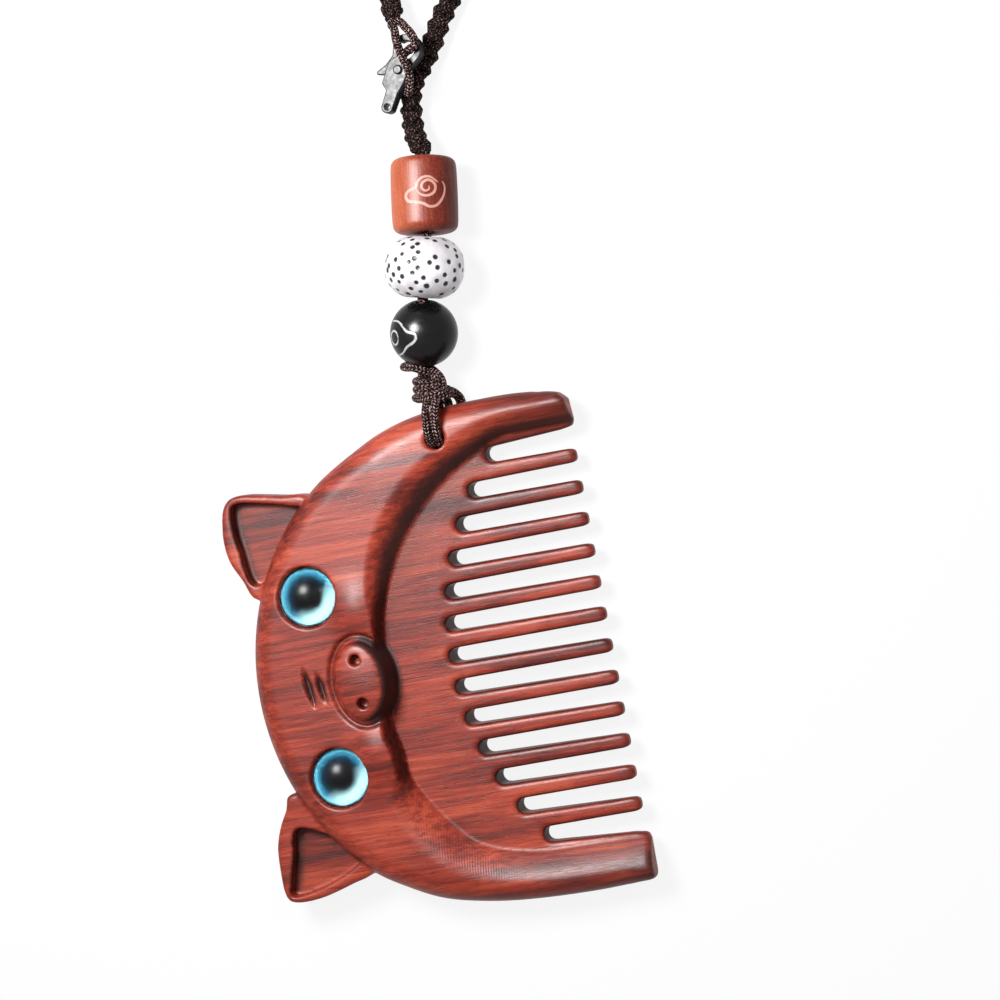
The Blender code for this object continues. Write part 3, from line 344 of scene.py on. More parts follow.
def glass():
    return Paint("eye_glass_clear", (0.97, 0.99, 1.0, 1.0), 0.28, Transmission_Weight=1.0, IOR=1.17).material


def iris_print_with_painted_caustic():
    """The printed eye: black middle, blue ring with a painted caustic of light that pales it towards the
    lower right, dark rim.
    """
    paint = Paint("printed_iris_painted_caustic", rgb(40, 130, 160), 0.6, Specular_IOR_Level=0.0)
    parts = paint.node("SeparateXYZ", (0, paint.place))
    reach = paint.math("DIVIDE", paint.node("VectorMath", (0, paint.place), operation="LENGTH").outputs[1],
                       IRIS_RADIUS * MM)
    lean = paint.plus(paint.times(parts.outputs[0], -130.0),
                      paint.times(parts.outputs[1], -90.0))
    streaks = paint.grains((0.5, 0.5, 0.5), 3.0)
    ring = paint.ramp(reach, (0.46, (0.0, 0.0, 0.001, 1.0)), (0.65, rgb(8, 38, 52)),
                      (0.79, rgb(42, 110, 136)), (0.89, rgb(92, 170, 190)), (0.95, rgb(8, 22, 30)))
    # pale is painted light: the bright crescent that the glass lens throws on the lower right of the iris
    pale = paint.times(paint.ramp(lean, (0.05, 0.0), (0.5, 1.0)),
                      paint.ramp(reach, (0.40, 0.0), (0.64, 1.0), (0.88, 0.9), (0.94, 0.0)))
    colour = paint.mix(pale, ring, rgb(184, 236, 240))
    paint.colour(paint.mix(0.25, colour, paint.ramp(streaks, (0.3, 0.3), (0.7, 1.0)), "MULTIPLY"))
    return paint.material


def plain(name, colour, roughness, **fixed):
    """One colour with soft mottling and a slightly uneven surface."""
    paint = Paint(name, colour, roughness, **fixed)
    cloud = paint.grains((1.2, 1.2, 1.2), 4.0)
    paint.colour(paint.mix(1.0, colour, paint.ramp(cloud, (0.3, 0.85), (0.7, 1.0)), "MULTIPLY"))
    paint.roughness(paint.ramp(cloud, (0.3, roughness * 0.8), (0.7, roughness * 1.25)))
    paint.bump(paint.grains((0.4, 0.4, 0.4), 3.0), 0.02)
    return paint.material


def seed_skin():
    """White seed bead: black pits of even size, marked by each point's distance from the nearest one."""
    paint = Paint("white_seed_skin", rgb(222, 220, 222), 0.38, Specular_IOR_Level=0.2)
    cloud = paint.grains((3.0, 3.0, 3.0), 4.0)
    white = paint.ramp(cloud, (0.35, rgb(200, 196, 200)), (0.6, rgb(228, 226, 229)))
    far = paint.plus(paint.mark("pit"), paint.times(paint.grains((0.4, 0.4, 0.4)), 0.16))
    paint.colour(paint.mix(paint.ramp(far, (0.52, 1.0), (0.68, 0.0)), white, rgb(44, 42, 46)))
    return paint.material


def lacquer():
    paint = Paint("orange_lacquered_wood", rgb(186, 84, 58), 0.42, Specular_IOR_Level=0.2)
    grain = paint.grains((0.4, 0.4, 5.0), 3.0, 0.2)
    speck = paint.grains((0.3, 0.3, 0.4), 2.0)
    # Painted shade: the bead grows darker towards its own +Y side, which faces away from the light
    painted_side_shade = paint.times(paint.node("SeparateXYZ", (0, paint.place)).outputs[1], 60.0)
    blend = paint.plus(paint.times(grain, 0.5), paint.times(speck, 0.5))
    blend = paint.math("SUBTRACT", blend, painted_side_shade)
    paint.colour(paint.ramp(blend, (0.1, rgb(78, 28, 20)), (0.36, rgb(124, 48, 32)), (0.6, rgb(156, 74, 48)),
                            (0.85, rgb(180, 96, 66))))
    paint.bump(grain, 0.03)
    return paint.material


def gunmetal():
    paint = Paint("gunmetal", rgb(24, 24, 26), 0.42, Metallic=0.1, Specular_IOR_Level=0.25)
    cloud = paint.grains((0.8, 0.8, 0.8), 4.0)
    paint.colour(paint.ramp(cloud, (0.35, rgb(18, 18, 19)), (0.65, rgb(38, 38, 40))))
    paint.roughness(paint.ramp(cloud, (0.3, 0.36), (0.7, 0.52)))
    paint.bump(paint.grains((0.3, 0.3, 0.3)), 0.01)
    return paint.material


# The braided cord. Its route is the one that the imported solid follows.

BRAID_ROUTE = [
    (100.19, -18.68, 6.64), (101.67, -18.87, 6.5), (103.6, -17.75, 5.3), (106.4, -17.05, 3.8),
    (109.2, -16.95, 3), (112, -17.2, 2.7), (114.2, -17.65, 2.7), (116.2, -18.65, 2.7), (118.05, -20.2, 2.7),
    (120.2, -22.1, 2.7), (123, -24, 2.7), (127.4, -26.8, 2.7), (132, -30.4, 2.7), (137.5, -34.9, 2.7),
    (145, -39.6, 2.7), (154, -42.8, 2.7), (164, -43, 2.7), (173, -39.6, 2.7), (179, -32.8, 2.7),
    (180.5, -24.5, 2.7), (176.5, -16.8, 2.7), (168.5, -12.4, 2.7), (158, -11.9, 2.7), (147.5, -14, 2.7),
    (138.5, -16.4, 2.7), (133.1, -17.15, 3.3), (130.6, -17.4, 4.7), (128.1, -17.95, 6.5),
]
BRAID_PITCH = 6.0  # along the cord, for one turn of a strand
BRAID_SPACING = 0.5  # from point to point along its line
BRAID_STRAND_RADIUS, BRAID_REACH, BRAID_WEAVE = 0.95, 1.12, 0.36
BRAID_START, BRAID_END = (0.55, 5.0), (0.34, 4.0)  # its share there, and a length to grow by one whole in
BRAID_STRANDS = [(1, 0.0), (1, math.pi), (-1, math.pi / 2), (-1, 3 * math.pi / 2)]


def make_braid(cord):
    """Four strands, two turning each way, each over one and under the next."""
    line = even_line(smooth_line(BRAID_ROUTE, 1.0), BRAID_SPACING)
    ups, others = frames_along(line)
    along = np.arange(len(line)) * BRAID_SPACING
    turn = 2 * np.pi * along / BRAID_PITCH
    waist = 1.0
    for (share, reach), far in ((BRAID_START, along), (BRAID_END, along[-1] - along)):
        waist = np.minimum(waist, share + far / reach)
    strands = []
    for hand, phase in BRAID_STRANDS:
        angle = hand * turn + phase
        radius = (BRAID_REACH + BRAID_WEAVE * hand * np.sin(2 * turn)) * waist
        path = line + radius[:, None] * (ups * np.cos(angle)[:, None] + others * np.sin(angle)[:, None])
        strands.append(tube(path, BRAID_STRAND_RADIUS * np.sqrt(waist), 10))
    braid = mesh_object("braided_cord_strands", join(strands), cord)
    return shown(braid, "braided_cord", "brown_cord", "lanyard"), line * MM


# The thin woven cords: each one's radius and route

WOVEN_CORDS = {
    "link_leg_front": (0.85, [
        (128.2, -17.75, 6.6), (127.5, -17.45, 7.2), (126.4, -18.3, 8.7), (125.1, -18.6, 9.6),
        (123.8, -18.65, 9.95), (121.9, -18.95, 10.1), (120, -19.3, 9.9), (118, -19.85, 9.75),
        (116.1, -19.9, 9.65), (114.3, -19.3, 9.2), (112.9, -18.4, 7.9),
    ]),
    "link_leg_back": (0.85, [
        (128.2, -18.6, 6.5), (127.3, -19.7, 7.3), (126.2, -20.6, 8.8), (124.9, -21.6, 9.6),
        (123.5, -22.2, 9.7), (122.3, -22.3, 9.7), (121.7, -21.8, 9.75), (121.6, -21.1, 9.6),
        (121.6, -20.6, 8.9), (121.65, -20.3, 7.9), (121.75, -20.15, 7), (121.9, -19.9, 6), (122.1, -19, 4.6),
        (121.3, -17.6, 4), (119.2, -15.7, 3.9), (117, -14.2, 3.6), (114.6, -13.4, 3),
    ]),
    "knot_tail": (1.0, [
        (53.5, -14, 4.9), (53.1, -14.9, 4.1), (52.1, -15.6, 2.8), (51, -15.7, 1.9), (49.9, -15.6, 1.5),
    ]),
    "hole_strand_right": (0.9, [
        (52.07, -12.14, 7.05), (51.33, -13.02, 10.82), (49.33, -12.82, 12.22), (46.85, -12.58, 12.22),
        (45.75, -12.48, 12.07), (44.9, -12.4, 11.6), (43.9, -12.3, 10.8), (43.35, -12.2, 9.3),
        (43.25, -12.2, 5), (44.1, -12.3, 2.8), (45.75, -12.48, 1.8), (46.85, -12.58, 1.65),
        (49.14, -12.8, 1.65), (51.52, -13.03, 2.15), (52.07, -12.14, 4.15),
    ]),
    "hole_strand_left": (0.78, [
        (51.81, -10.31, 7.05), (51.5, -11.17, 10.82), (49.51, -10.98, 12.22), (47.03, -10.74, 12.22),
        (45.93, -10.64, 12.07), (45.1, -10.56, 11.6), (44.1, -10.55, 10.8), (43.4, -10.6, 9.3),
        (43.3, -10.6, 5), (44.3, -10.55, 2.8), (45.93, -10.64, 1.8), (47.03, -10.74, 1.65),
        (49.31, -10.96, 1.65), (51.7, -11.19, 2.15), (51.81, -10.31, 4.15),
    ]),
    "bead_cord": (1.1, [
        (58.3, -10.7, 5.65), (59.21, -10.89, 5.82), (65.66, -12.26, 7), (72.19, -13.65, 8.19),
        (78.47, -15.21, 8.15), (84.83, -16.8, 8.15), (92.58, -17.75, 7.39), (99.89, -18.65, 6.67),
    ]),
}
CORD_SPACING, CORD_SIDES = 0.4, 12


def thread_tube(route, radius):
    return tube(even_line(smooth_line(route, CORD_SPACING), CORD_SPACING), radius, CORD_SIDES)


def make_woven(cord, *nodes):
    """The cords that stand for these nodes."""
    made = []
    for node in nodes:
        radius, route = WOVEN_CORDS[node]
        piece = mesh_object(node + "_woven", thread_tube(route, radius), cord)
        made.append(shown(piece, node, "brown_cord", "lanyard"))
    return made


# The comb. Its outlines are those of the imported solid, but for fuller teeth. Its heights, hollows and
# rounded edges are finer.

FACE_TOP, PLATE_TOP, TIP_TOP, TIP_UNDERSIDE, GUARD_TOP, HORN_UNDERSIDE = 12.5, 7.8, 5.3, 2.6, 8.8, 3.0
GUARD_END_Y = -38.75
HEAD_CENTRE, HEAD_RADIUS, HEAD_ARC = (-1.3, -14.9), 51.4, (36.0, 138.5)
RIGHT_HORN = [(45.6, 5.6), (48.2, -0.6), (49.8, -7.5), (50.5, -15.5), (50.5, -26), (49.9, -33)]
LEFT_HORN = [(-44.2, 12.2), (-47.4, 5.2), (-49.3, -3.5), (-50.2, -13), (-50.4, -25), (-50.1, -33)]
RIGHT_GUARD_CORNER = [(49.7, -34.6), (48.9, -37), (47.4, -38.4)]
LEFT_GUARD_CORNER = [(-49.9, -38), (-49.2, -38.7)]
STEP_FOOT = [
    (42.6, -46), (42.4, -33), (42.2, -24), (40.5, -19.4), (37.5, -13.6), (33.1, -7.4), (28.2, -2.6),
    (22.8, 1.5), (16.2, 4.9), (9.4, 7.2), (0, 8.2), (-10.3, 9.1), (-16.3, 8), (-21.5, 7.4), (-25, 5.8),
    (-29.9, 2.6), (-35.9, -2.6), (-39, -8.6), (-40.5, -16.5), (-40.8, -25), (-40.9, -46),
]
STEP_CREST = [
    (45, -46), (45, -33.5), (44.8, -25.5), (43.6, -20.4), (40.6, -12.6), (36, -5.3), (30.4, 0.1), (24.6, 4),
    (17.4, 6.9), (9.6, 8), (0, 8.8), (-10.1, 9.7), (-16, 8.7), (-21.5, 8.6), (-27.6, 8.4), (-33.6, 6),
    (-39.6, 0.6), (-43.4, -6.4), (-45.3, -15.5), (-45.8, -25), (-45.9, -46),
]
STEP_WIDTH, STEP_WIDENING = 0.4, 2.3  # the second is added where the step runs out softly
SOFT_RIGHT, SOFT_LEFT = (10.0, 26.0), (19.0, 27.0)
# Where the step is milled: in shares of its rise, and in distances towards -X and -Y
MILLED_FROM, MILLED_TO, MILLED_LEFT, MILLED_DOWN = (0.0, 0.12), (0.55, 0.95), (20.0, 25.0), (3.0, 15.0)
# Heights at places in Y
FACE_FALL = [(GUARD_END_Y, GUARD_TOP), (GUARD_END_Y / 2, 10.835), (2.0, FACE_TOP)]
PLATE_FALL = [(GUARD_END_Y, TIP_TOP), (-4.0, PLATE_TOP)]
TIP_RISE = [(GUARD_END_Y, TIP_UNDERSIDE), (-6.0, 0.0)]
# Shares at places in X
UNDERSIDE_RISE = [(28, 0.0), (36, 0.12), (40, 0.42), (43, 0.76), (46, 0.94), (51, 1.0)]
FACE_DROP = [(20, 0.0), (40, 0.3), (51, 1.0)]
# Radii, the two lists at places in Y
RIM_ROUNDING = [(GUARD_END_Y, 3.6), (0.0, 5.4)]
BACK_ROUNDING = 2.4
TOOTH_ROUNDING = [(-37.0, 0.7), (-33.0, 0.95)]
SLOT_MIDDLE, SLOT_PITCH, SLOT_COUNT = 0.7, 6.42, 13
SLOT_PLACES = [SLOT_MIDDLE + SLOT_PITCH * (SLOT_COUNT // 2 - index) for index in range(SLOT_COUNT)]
ROOT_ARC_CENTRE, ROOT_ARC_RADIUS = (-0.8, -65.9), 61.0
ROOT_WIDTH, MOUTH_WIDTH, GUARD_GAP = 3.1, 3.5, 2.25
TEETH_HALF = 42.0
TOOTH_TIP_Y, TOOTH_TIP_LENGTH, TIP_FULLNESS = -38.0, 2.2, 0.6
CHEEKS = [((13.6, 11.4), (5.2, 4.2), 1.1), ((-15.2, 12.0), (6.4, 5.2), 1.6)]  # place, reach and height
EAR_TOP, EAR_UNDERSIDE, EAR_FLOOR = 9.6, 2.8, 6.6
RIGHT_EAR = [
    (34, 14), (38.1, 18.4), (39, 23.6), (40, 28.6), (40.6, 32.2), (40.1, 35), (38.2, 36.6), (34.9, 37.4),
    (31.2, 37.7), (27.3, 37.1), (23.4, 35.2), (19, 32.9), (20, 27),
]
LEFT_EAR = [
    (-36.5, 15), (-40.2, 19.4), (-41.4, 23.2), (-42.6, 27.2), (-43.5, 31), (-43.8, 35), (-43.2, 37.7),
    (-41.2, 38.6), (-37.9, 38.7), (-32.3, 38.4), (-28, 37), (-24.5, 35), (-21.5, 33.4), (-24, 26),
]
RIGHT_EAR_HOLLOW = [(34, 18), (36.6, 21.9), (38.3, 28.5), (39, 33.6), (37, 34.9), (30, 34.6), (21.8, 31.7)]
LEFT_EAR_HOLLOW = [
    (-35, 20), (-38.8, 23.6), (-41.6, 31), (-42.3, 36.9), (-39, 36.4), (-34.8, 35.2), (-28.6, 32.6),
]
EAR_EDGE, EAR_BACK_EDGE, HOLLOW_EDGE, EAR_FILLET = 1.0, 0.8, 0.5, 0.25
SNOUT_CENTRE, SNOUT_HALF, SNOUT_TOP, SNOUT_FOOT = (-0.8, 12.4), (8.7, 6.1), 15.0, 5.0
SNOUT_GROOVE, SNOUT_TAPER, SNOUT_SPARE, SNOUT_CROWN = 0.75, 0.14, 0.05, 0.15
SNOUT_EDGE, SNOUT_FOOT_EDGE, SNOUT_FILLET = 1.0, 0.5, 0.15
NOSTRIL_SPACING, NOSTRIL_RADIUS, NOSTRIL_DEPTH = 8.8, 1.15, 2.6
NOSTRIL_CORNER, NOSTRIL_EDGE = 0.5, 0.3
CREASES = [((-0.6, 24.0), 8.8, 1.7), ((-0.9, 21.4), 6.8, 1.5)]  # place, length and width
CREASE_TURN, CREASE_DEPTH = math.radians(8.0), 1.1
EYE_PLACES = {"right": (17.7, 20.95), "left": (-19.5, 21.1)}
SOCKET_RADIUS, SOCKET_FLOOR, SOCKET_CORNER, SOCKET_EDGE = 6.3, 9.4, 0.2, 0.35
HOLE_PLACE, HOLE_RADIUS, HOLE_EDGE = (44.2, -11.4), 2.0, 0.5
# The grid on which the comb's surface is found, along X, Y and Z: stretches of start, end and spacing
COMB_GRID = (
    ((-52.5, -27.0, 0.42), (-27.0, 25.0, 0.34), (25.0, 52.5, 0.42)),
    ((-40.5, -20.0, 0.7), (-20.0, 4.0, 0.55), (4.0, 40.5, 0.38)),
    ((-0.9, 16.2, 0.4),),
)


def blank_outline():
    angles = np.radians(np.linspace(*HEAD_ARC, 10))
    head = np.array(HEAD_CENTRE) + HEAD_RADIUS * np.stack([np.cos(angles), np.sin(angles)], 1)
    curve = smooth_line(np.vstack([RIGHT_HORN[::-1], head, LEFT_HORN]), 1.5)
    past = GUARD_END_Y - 8.0
    return np.vstack([[(curve[0][0], past)], curve, [(curve[-1][0], past)]])


def root_y(x):
    """Where the slot at x ends."""
    return ROOT_ARC_CENTRE[1] + math.sqrt(ROOT_ARC_RADIUS ** 2 - (x - ROOT_ARC_CENTRE[0]) ** 2)


def slots_outline():
    """All that is cut away between and beyond the teeth."""
    points = [(70.0, -60.0), (70.0, -31.0), (50.2, -32.6)] + RIGHT_GUARD_CORNER
    inner = SLOT_PLACES[0] + GUARD_GAP
    points += [(inner + 1.5, GUARD_END_Y), (inner + 0.4, GUARD_END_Y + 0.5)]
    mouth_y = TOOTH_TIP_Y + TOOTH_TIP_LENGTH
    mouth, root = MOUTH_WIDTH / 2, ROOT_WIDTH / 2
    for index, x in enumerate(SLOT_PLACES):
        last = index + 1 == SLOT_COUNT
        middle = root_y(x) - root
        points.append((x + (mouth if index else GUARD_GAP), mouth_y))
        for angle in np.radians(np.linspace(0, 180, 13)):
            points.append((x + root * math.cos(angle), middle + root * math.sin(angle)))
        points.append((x - (GUARD_GAP if last else mouth), mouth_y))
        if not last:
            high, low = x - mouth, SLOT_PLACES[index + 1] + mouth
            for angle in np.radians(np.linspace(15, 165, 11)):
                across = math.copysign(abs(math.cos(angle)) ** TIP_FULLNESS, math.cos(angle))
                points.append(((high + low) / 2 + (high - low) / 2 * across,
                               mouth_y - TOOTH_TIP_LENGTH * math.sin(angle) ** TIP_FULLNESS))
    inner = SLOT_PLACES[-1] - GUARD_GAP
    points += [(inner - 0.4, GUARD_END_Y + 0.5), (inner - 1.5, GUARD_END_Y)] + LEFT_GUARD_CORNER[::-1]
    return np.array(points + [(-50.4, -34.6), (-70.0, -31.0), (-70.0, -60.0)])


def away(X, Y, outline):
    """How far each place is from a closed outline, negative inside it."""
    least = np.full(X.shape, 1e9)
    inside = np.zeros(X.shape, bool)
    outline = np.asarray(outline, float)
    for (ax, ay), (bx, by) in zip(outline, np.roll(outline, -1, 0)):
        dx, dy = bx - ax, by - ay
        t = np.clip(((X - ax) * dx + (Y - ay) * dy) / max(1e-12, dx * dx + dy * dy), 0.0, 1.0)
        least = np.minimum(least, (X - ax - t * dx) ** 2 + (Y - ay - t * dy) ** 2)
        if ay != by:
            inside ^= ((ay > Y) != (by > Y)) & (X < ax + dx * (Y - ay) / dy)
    return np.where(inside, -1.0, 1.0) * np.sqrt(least)


def both(a, b, radius):
    """Where two shapes overlap, with the edge between them rounded."""
    corner = np.sqrt(np.maximum(a + radius, 0.0) ** 2 + np.maximum(b + radius, 0.0) ** 2)
    return np.minimum(np.maximum(a, b), -radius) + corner


def either(a, b, radius):
    """Two shapes as one, with a fillet in the corner between them."""
    return -both(-a, -b, radius)


def swell(X, Y, place, reach, height):
    """A soft mound."""
    return height * np.exp(-((X - place[0]) / reach[0]) ** 2 - ((Y - place[1]) / reach[1]) ** 2)


def between(value, low, high):
    """0 below low, 1 above high, smooth between them."""
    t = np.clip((value - low) / (high - low), 0.0, 1.0)
    return t * t * (3.0 - 2.0 * t)


def read_off(value, table):
    """What a table of (value, number) says, with straight runs between its rows."""
    return np.interp(value, *zip(*table))


def comb_heights(X, Y):
    """The comb's upper and lower surface, where it is milled, and where painted shade darkens its carved
    walls and creases.
    """
    side = np.abs(X)
    fall = read_off(Y, FACE_FALL)
    face = fall - read_off(side, FACE_DROP) * (fall - GUARD_TOP) / (FACE_TOP - GUARD_TOP)
    tips = read_off(Y, TIP_RISE)
    under = tips + (HORN_UNDERSIDE - tips) * read_off(side, UNDERSIDE_RISE)
    plate = read_off(Y, PLATE_FALL)
    foot = away(X, Y, smooth_line(STEP_FOOT, 1.5))
    crest = away(X, Y, smooth_line(STEP_CREST, 1.5))
    spread = STEP_WIDTH + STEP_WIDENING * np.maximum(between(X, *SOFT_RIGHT), between(-X, *SOFT_LEFT))
    rise = np.clip(foot / np.maximum(0.05, foot - crest + spread), 0.0, 1.0) * (foot > 0)
    face += sum(swell(X, Y, *cheek) for cheek in CHEEKS)
    snout = ellipse(X, Y, SNOUT_CENTRE, SNOUT_HALF)
    face -= SNOUT_GROOVE * np.exp(-((snout - 0.5) / 0.5) ** 2)
    creased = crease_depths(X, Y)
    top = plate + (face - plate) * np.sin(rise * math.pi / 2) - CREASE_DEPTH * creased
    milled = between(rise, *MILLED_FROM) * (1 - between(rise, *MILLED_TO)) * between(-X, *MILLED_LEFT)
    milled *= 1 - between(-Y, *MILLED_DOWN)
    # The last mark is painted shade: at the carving's walls and in the brow's creases
    return top, under, milled, np.maximum(painted_shade_and_dark_ends(X, Y, rise, foot, snout), between(creased, 0.15, 0.6))


def crease_depths(X, Y):
    """How deep each place lies in the creases of the brow, as a share."""
    deepest = np.zeros(X.shape)
    for (x, y), length, width in CREASES:
        along = (X - x) * math.cos(CREASE_TURN) + (Y - y) * math.sin(CREASE_TURN)
        across = (Y - y) * math.cos(CREASE_TURN) - (X - x) * math.sin(CREASE_TURN)
        across += 0.06 * along * along / length
        half = width / 2 * np.clip(1 - (2 * along / length) ** 2, 0.0, 1.0)
        deepest = np.maximum(deepest, np.clip(half + 0.12 - np.abs(across), 0.0, 0.7) * (half > 0) / 0.7)
    return deepest


def painted_shade_and_dark_ends(X, Y, rise, foot, snout):
    """How much painted shade each place gets, as a share, with the guards and tooth tips also made darker.
    rise is how far up the step it is, foot how far behind its foot.
    """
    # Painted shade on the step itself, where it is steep
    wall = between(rise, 0.0, 0.06) * (1 - between(rise, 0.25, 0.9 - 0.2 * between(X, 6.0, 16.0)))
    wall *= 0.97 * between(X, -25.0, -20.0)
    # A painted shadow on the plate in front of the step; the guards and the tooth tips are made darker
    shade = 0.6 * between(X, 8.0, 22.0) * np.exp(np.minimum(foot, 0.0) / 4.5) * (foot < 0)
    guards = between(np.abs(X), 42.0, 45.0) * between(-Y, 12.0, 30.0)
    wall = np.maximum(np.maximum(wall, shade), 0.4 * guards + 0.3 * between(-Y, 31.0, 39.0))
    wall *= between(snout, -0.8, -0.2)
    # Painted shade on the snout's side towards the teeth, and in the groove round it
    turned = (SNOUT_CENTRE[1] - Y) / SNOUT_HALF[1]
    beside = between(snout, -1.9, -1.2) * (1 - between(snout, 0.2, 1.3)) * between(turned, -0.25, 0.25)
    wall = np.maximum(wall, np.maximum(beside, 0.4 * np.exp(-((snout - 0.3) / 0.5) ** 2)))
    # Painted shade in the ears' hollows, darkest at the walls that face away from the light, and a lighter
    # painted shade over each whole hollow
    for outline, lean, recess_shade in ((RIGHT_EAR_HOLLOW, (0.1, 1.0), 0.34), (LEFT_EAR_HOLLOW, (0.8, 0.6), 0.2)):
        inside = away(X, Y, smooth_line(outline, 1.0, True))
        facing = np.gradient(inside, X[:, 0], axis=0) * lean[0] + np.gradient(inside, Y[0], axis=1) * lean[1]
        shade = (1 - between(-inside, 0.4, 2.8)) * between(facing, 0.2, 0.8) * (inside < 0.3)
        wall = np.maximum(wall, np.maximum(0.85 * shade, recess_shade * between(-inside, -0.2, 0.6)))
    return wall


def ellipse(X, Y, centre, half):
    """How far each place is from an ellipse, negative inside it."""
    x, y = X - centre[0], Y - centre[1]
    near = np.hypot(x / half[0], y / half[1])
    steep = np.hypot(x / half[0] ** 2, y / half[1] ** 2)
    return near * (near - 1.0) / np.maximum(steep, 1e-6)


def comb_shape(xs, ys, zs):
    """How far each place is from the comb's surface, negative inside, and comb_heights' two marks."""
    X, Y = np.meshgrid(xs, ys, indexing="ij")
    Z = zs[None, None, :]
    top, under, milled, wall = comb_heights(X, Y)
    slope = np.hypot(1.0, np.hypot(*np.gradient(top, xs, ys)))
    upper = (Z - top[:, :, None]) / np.minimum(slope, 3.0)[:, :, None]
    lower = under[:, :, None] - Z
    edge = away(X, Y, blank_outline())[:, :, None]
    shape = both(both(edge, upper, read_off(Y, RIM_ROUNDING)[:, :, None]), lower, BACK_ROUNDING)
    for outline, hollow in ((RIGHT_EAR, RIGHT_EAR_HOLLOW), (LEFT_EAR, LEFT_EAR_HOLLOW)):
        reach = away(X, Y, smooth_line(outline, 1.0, True))[:, :, None]
        ear = both(both(reach, Z - EAR_TOP, EAR_EDGE), EAR_UNDERSIDE - Z, EAR_BACK_EDGE)
        dip = both(away(X, Y, smooth_line(hollow, 1.0, True))[:, :, None], EAR_FLOOR - Z, HOLLOW_EDGE)
        shape = either(shape, both(ear, -dip, HOLLOW_EDGE), EAR_FILLET)
    narrow = SNOUT_TAPER * (Z - PLATE_TOP) - SNOUT_SPARE
    sides = ellipse(X, Y, SNOUT_CENTRE, SNOUT_HALF)[:, :, None] + narrow
    near = ((X - SNOUT_CENTRE[0]) / SNOUT_HALF[0]) ** 2 + ((Y - SNOUT_CENTRE[1]) / SNOUT_HALF[1]) ** 2
    snout = both(sides, Z - SNOUT_TOP - SNOUT_CROWN + near[:, :, None], SNOUT_EDGE)
    shape = either(shape, both(snout, SNOUT_FOOT - Z, SNOUT_FOOT_EDGE), SNOUT_FILLET)
    for place in EYE_PLACES.values():
        reach = np.hypot(X - place[0], Y - place[1])[:, :, None] - SOCKET_RADIUS
        shape = both(shape, -both(reach, SOCKET_FLOOR - Z, SOCKET_CORNER), SOCKET_EDGE)
    for side in (1, -1):
        x = SNOUT_CENTRE[0] + side * NOSTRIL_SPACING / 2
        reach = np.hypot(X - x, Y - SNOUT_CENTRE[1])[:, :, None] - NOSTRIL_RADIUS
        shape = both(shape, -both(reach, SNOUT_TOP - NOSTRIL_DEPTH - Z, NOSTRIL_CORNER), NOSTRIL_EDGE)
    reach = HOLE_RADIUS - np.hypot(X - HOLE_PLACE[0], Y - HOLE_PLACE[1])[:, :, None]
    shape = both(shape, reach, HOLE_EDGE)
    slots = -away(X, Y, slots_outline())[:, :, None]
    return both(shape, slots, read_off(Y, TOOTH_ROUNDING)[:, :, None]), milled, wall


def surface(shape, axes):
    """Points and faces where a shape on a grid is zero, with the faces outwards."""
    inside = shape < 0
    cut = [slice(0, -1), slice(1, None)]
    corners = list(itertools.product((0, 1), repeat=3))
    full = sum(inside[cut[i], cut[j], cut[k]].astype(np.int8) for i, j, k in corners)
    cells = np.argwhere((full > 0) & (full < 8))
    total = np.zeros((len(cells), 3))
    hits = np.zeros(len(cells))
    for corner in corners:
        for axis in range(3):
            if corner[axis]:
                continue
            first = cells + corner
            second = first + np.eye(3, dtype=int)[axis]
            a, b = shape[tuple(first.T)], shape[tuple(second.T)]
            crossed = (a < 0) != (b < 0)
            t = np.where(crossed, a / np.where(crossed, a - b, 1.0), 0.0)
            for other in range(3):
                line = axes[other]
                low = line[first[:, other]]
                total[:, other] += crossed * (low + t * (line[second[:, other]] - low))
            hits += crossed
    points = total / hits[:, None]
    number = np.full(np.array(shape.shape), -1)
    number[tuple(cells.T)] = np.arange(len(cells))
    faces = []
    for axis in range(3):
        u, v = np.eye(3, dtype=int)[(axis + 1) % 3], np.eye(3, dtype=int)[(axis + 2) % 3]
        low, high = [slice(None)] * 3, [slice(None)] * 3
        low[axis], high[axis] = slice(0, -1), slice(1, None)
        changed = np.argwhere(inside[tuple(low)] != inside[tuple(high)])
        quads = np.stack([number[tuple((changed - d).T)] for d in (u + v, v, 0 * u, u)], 1)
        outward = inside[tuple(changed.T)]
        quads[~outward] = quads[~outward][:, ::-1]
        faces.append(quads)
    return points, np.vstack(faces)


def read_grid(values, axes, points):
    """Values of a grid at places between its points."""
    spots, shares = [], []
    for axis, line in enumerate(axes):
        index = np.clip(np.searchsorted(line, points[:, axis]) - 1, 0, len(line) - 2)
        spots.append(index)
        shares.append(np.clip((points[:, axis] - line[index]) / (line[index + 1] - line[index]), 0.0, 1.0))
    result = 0.0
    for corner in itertools.product((0, 1), repeat=3):
        weight = np.prod([share if c else 1 - share for c, share in zip(corner, shares)], axis=0)
        result = result + weight * values[tuple(spot + c for spot, c in zip(spots, corner))]
    return result


def spaced(*stretches):
    """Grid lines: each stretch is its start, its end and its spacing."""
    lines = [np.linspace(a, b, round((b - a) / step) + 1)[:-1] for a, b, step in stretches]
    return np.concatenate(lines + [[stretches[-1][1]]])


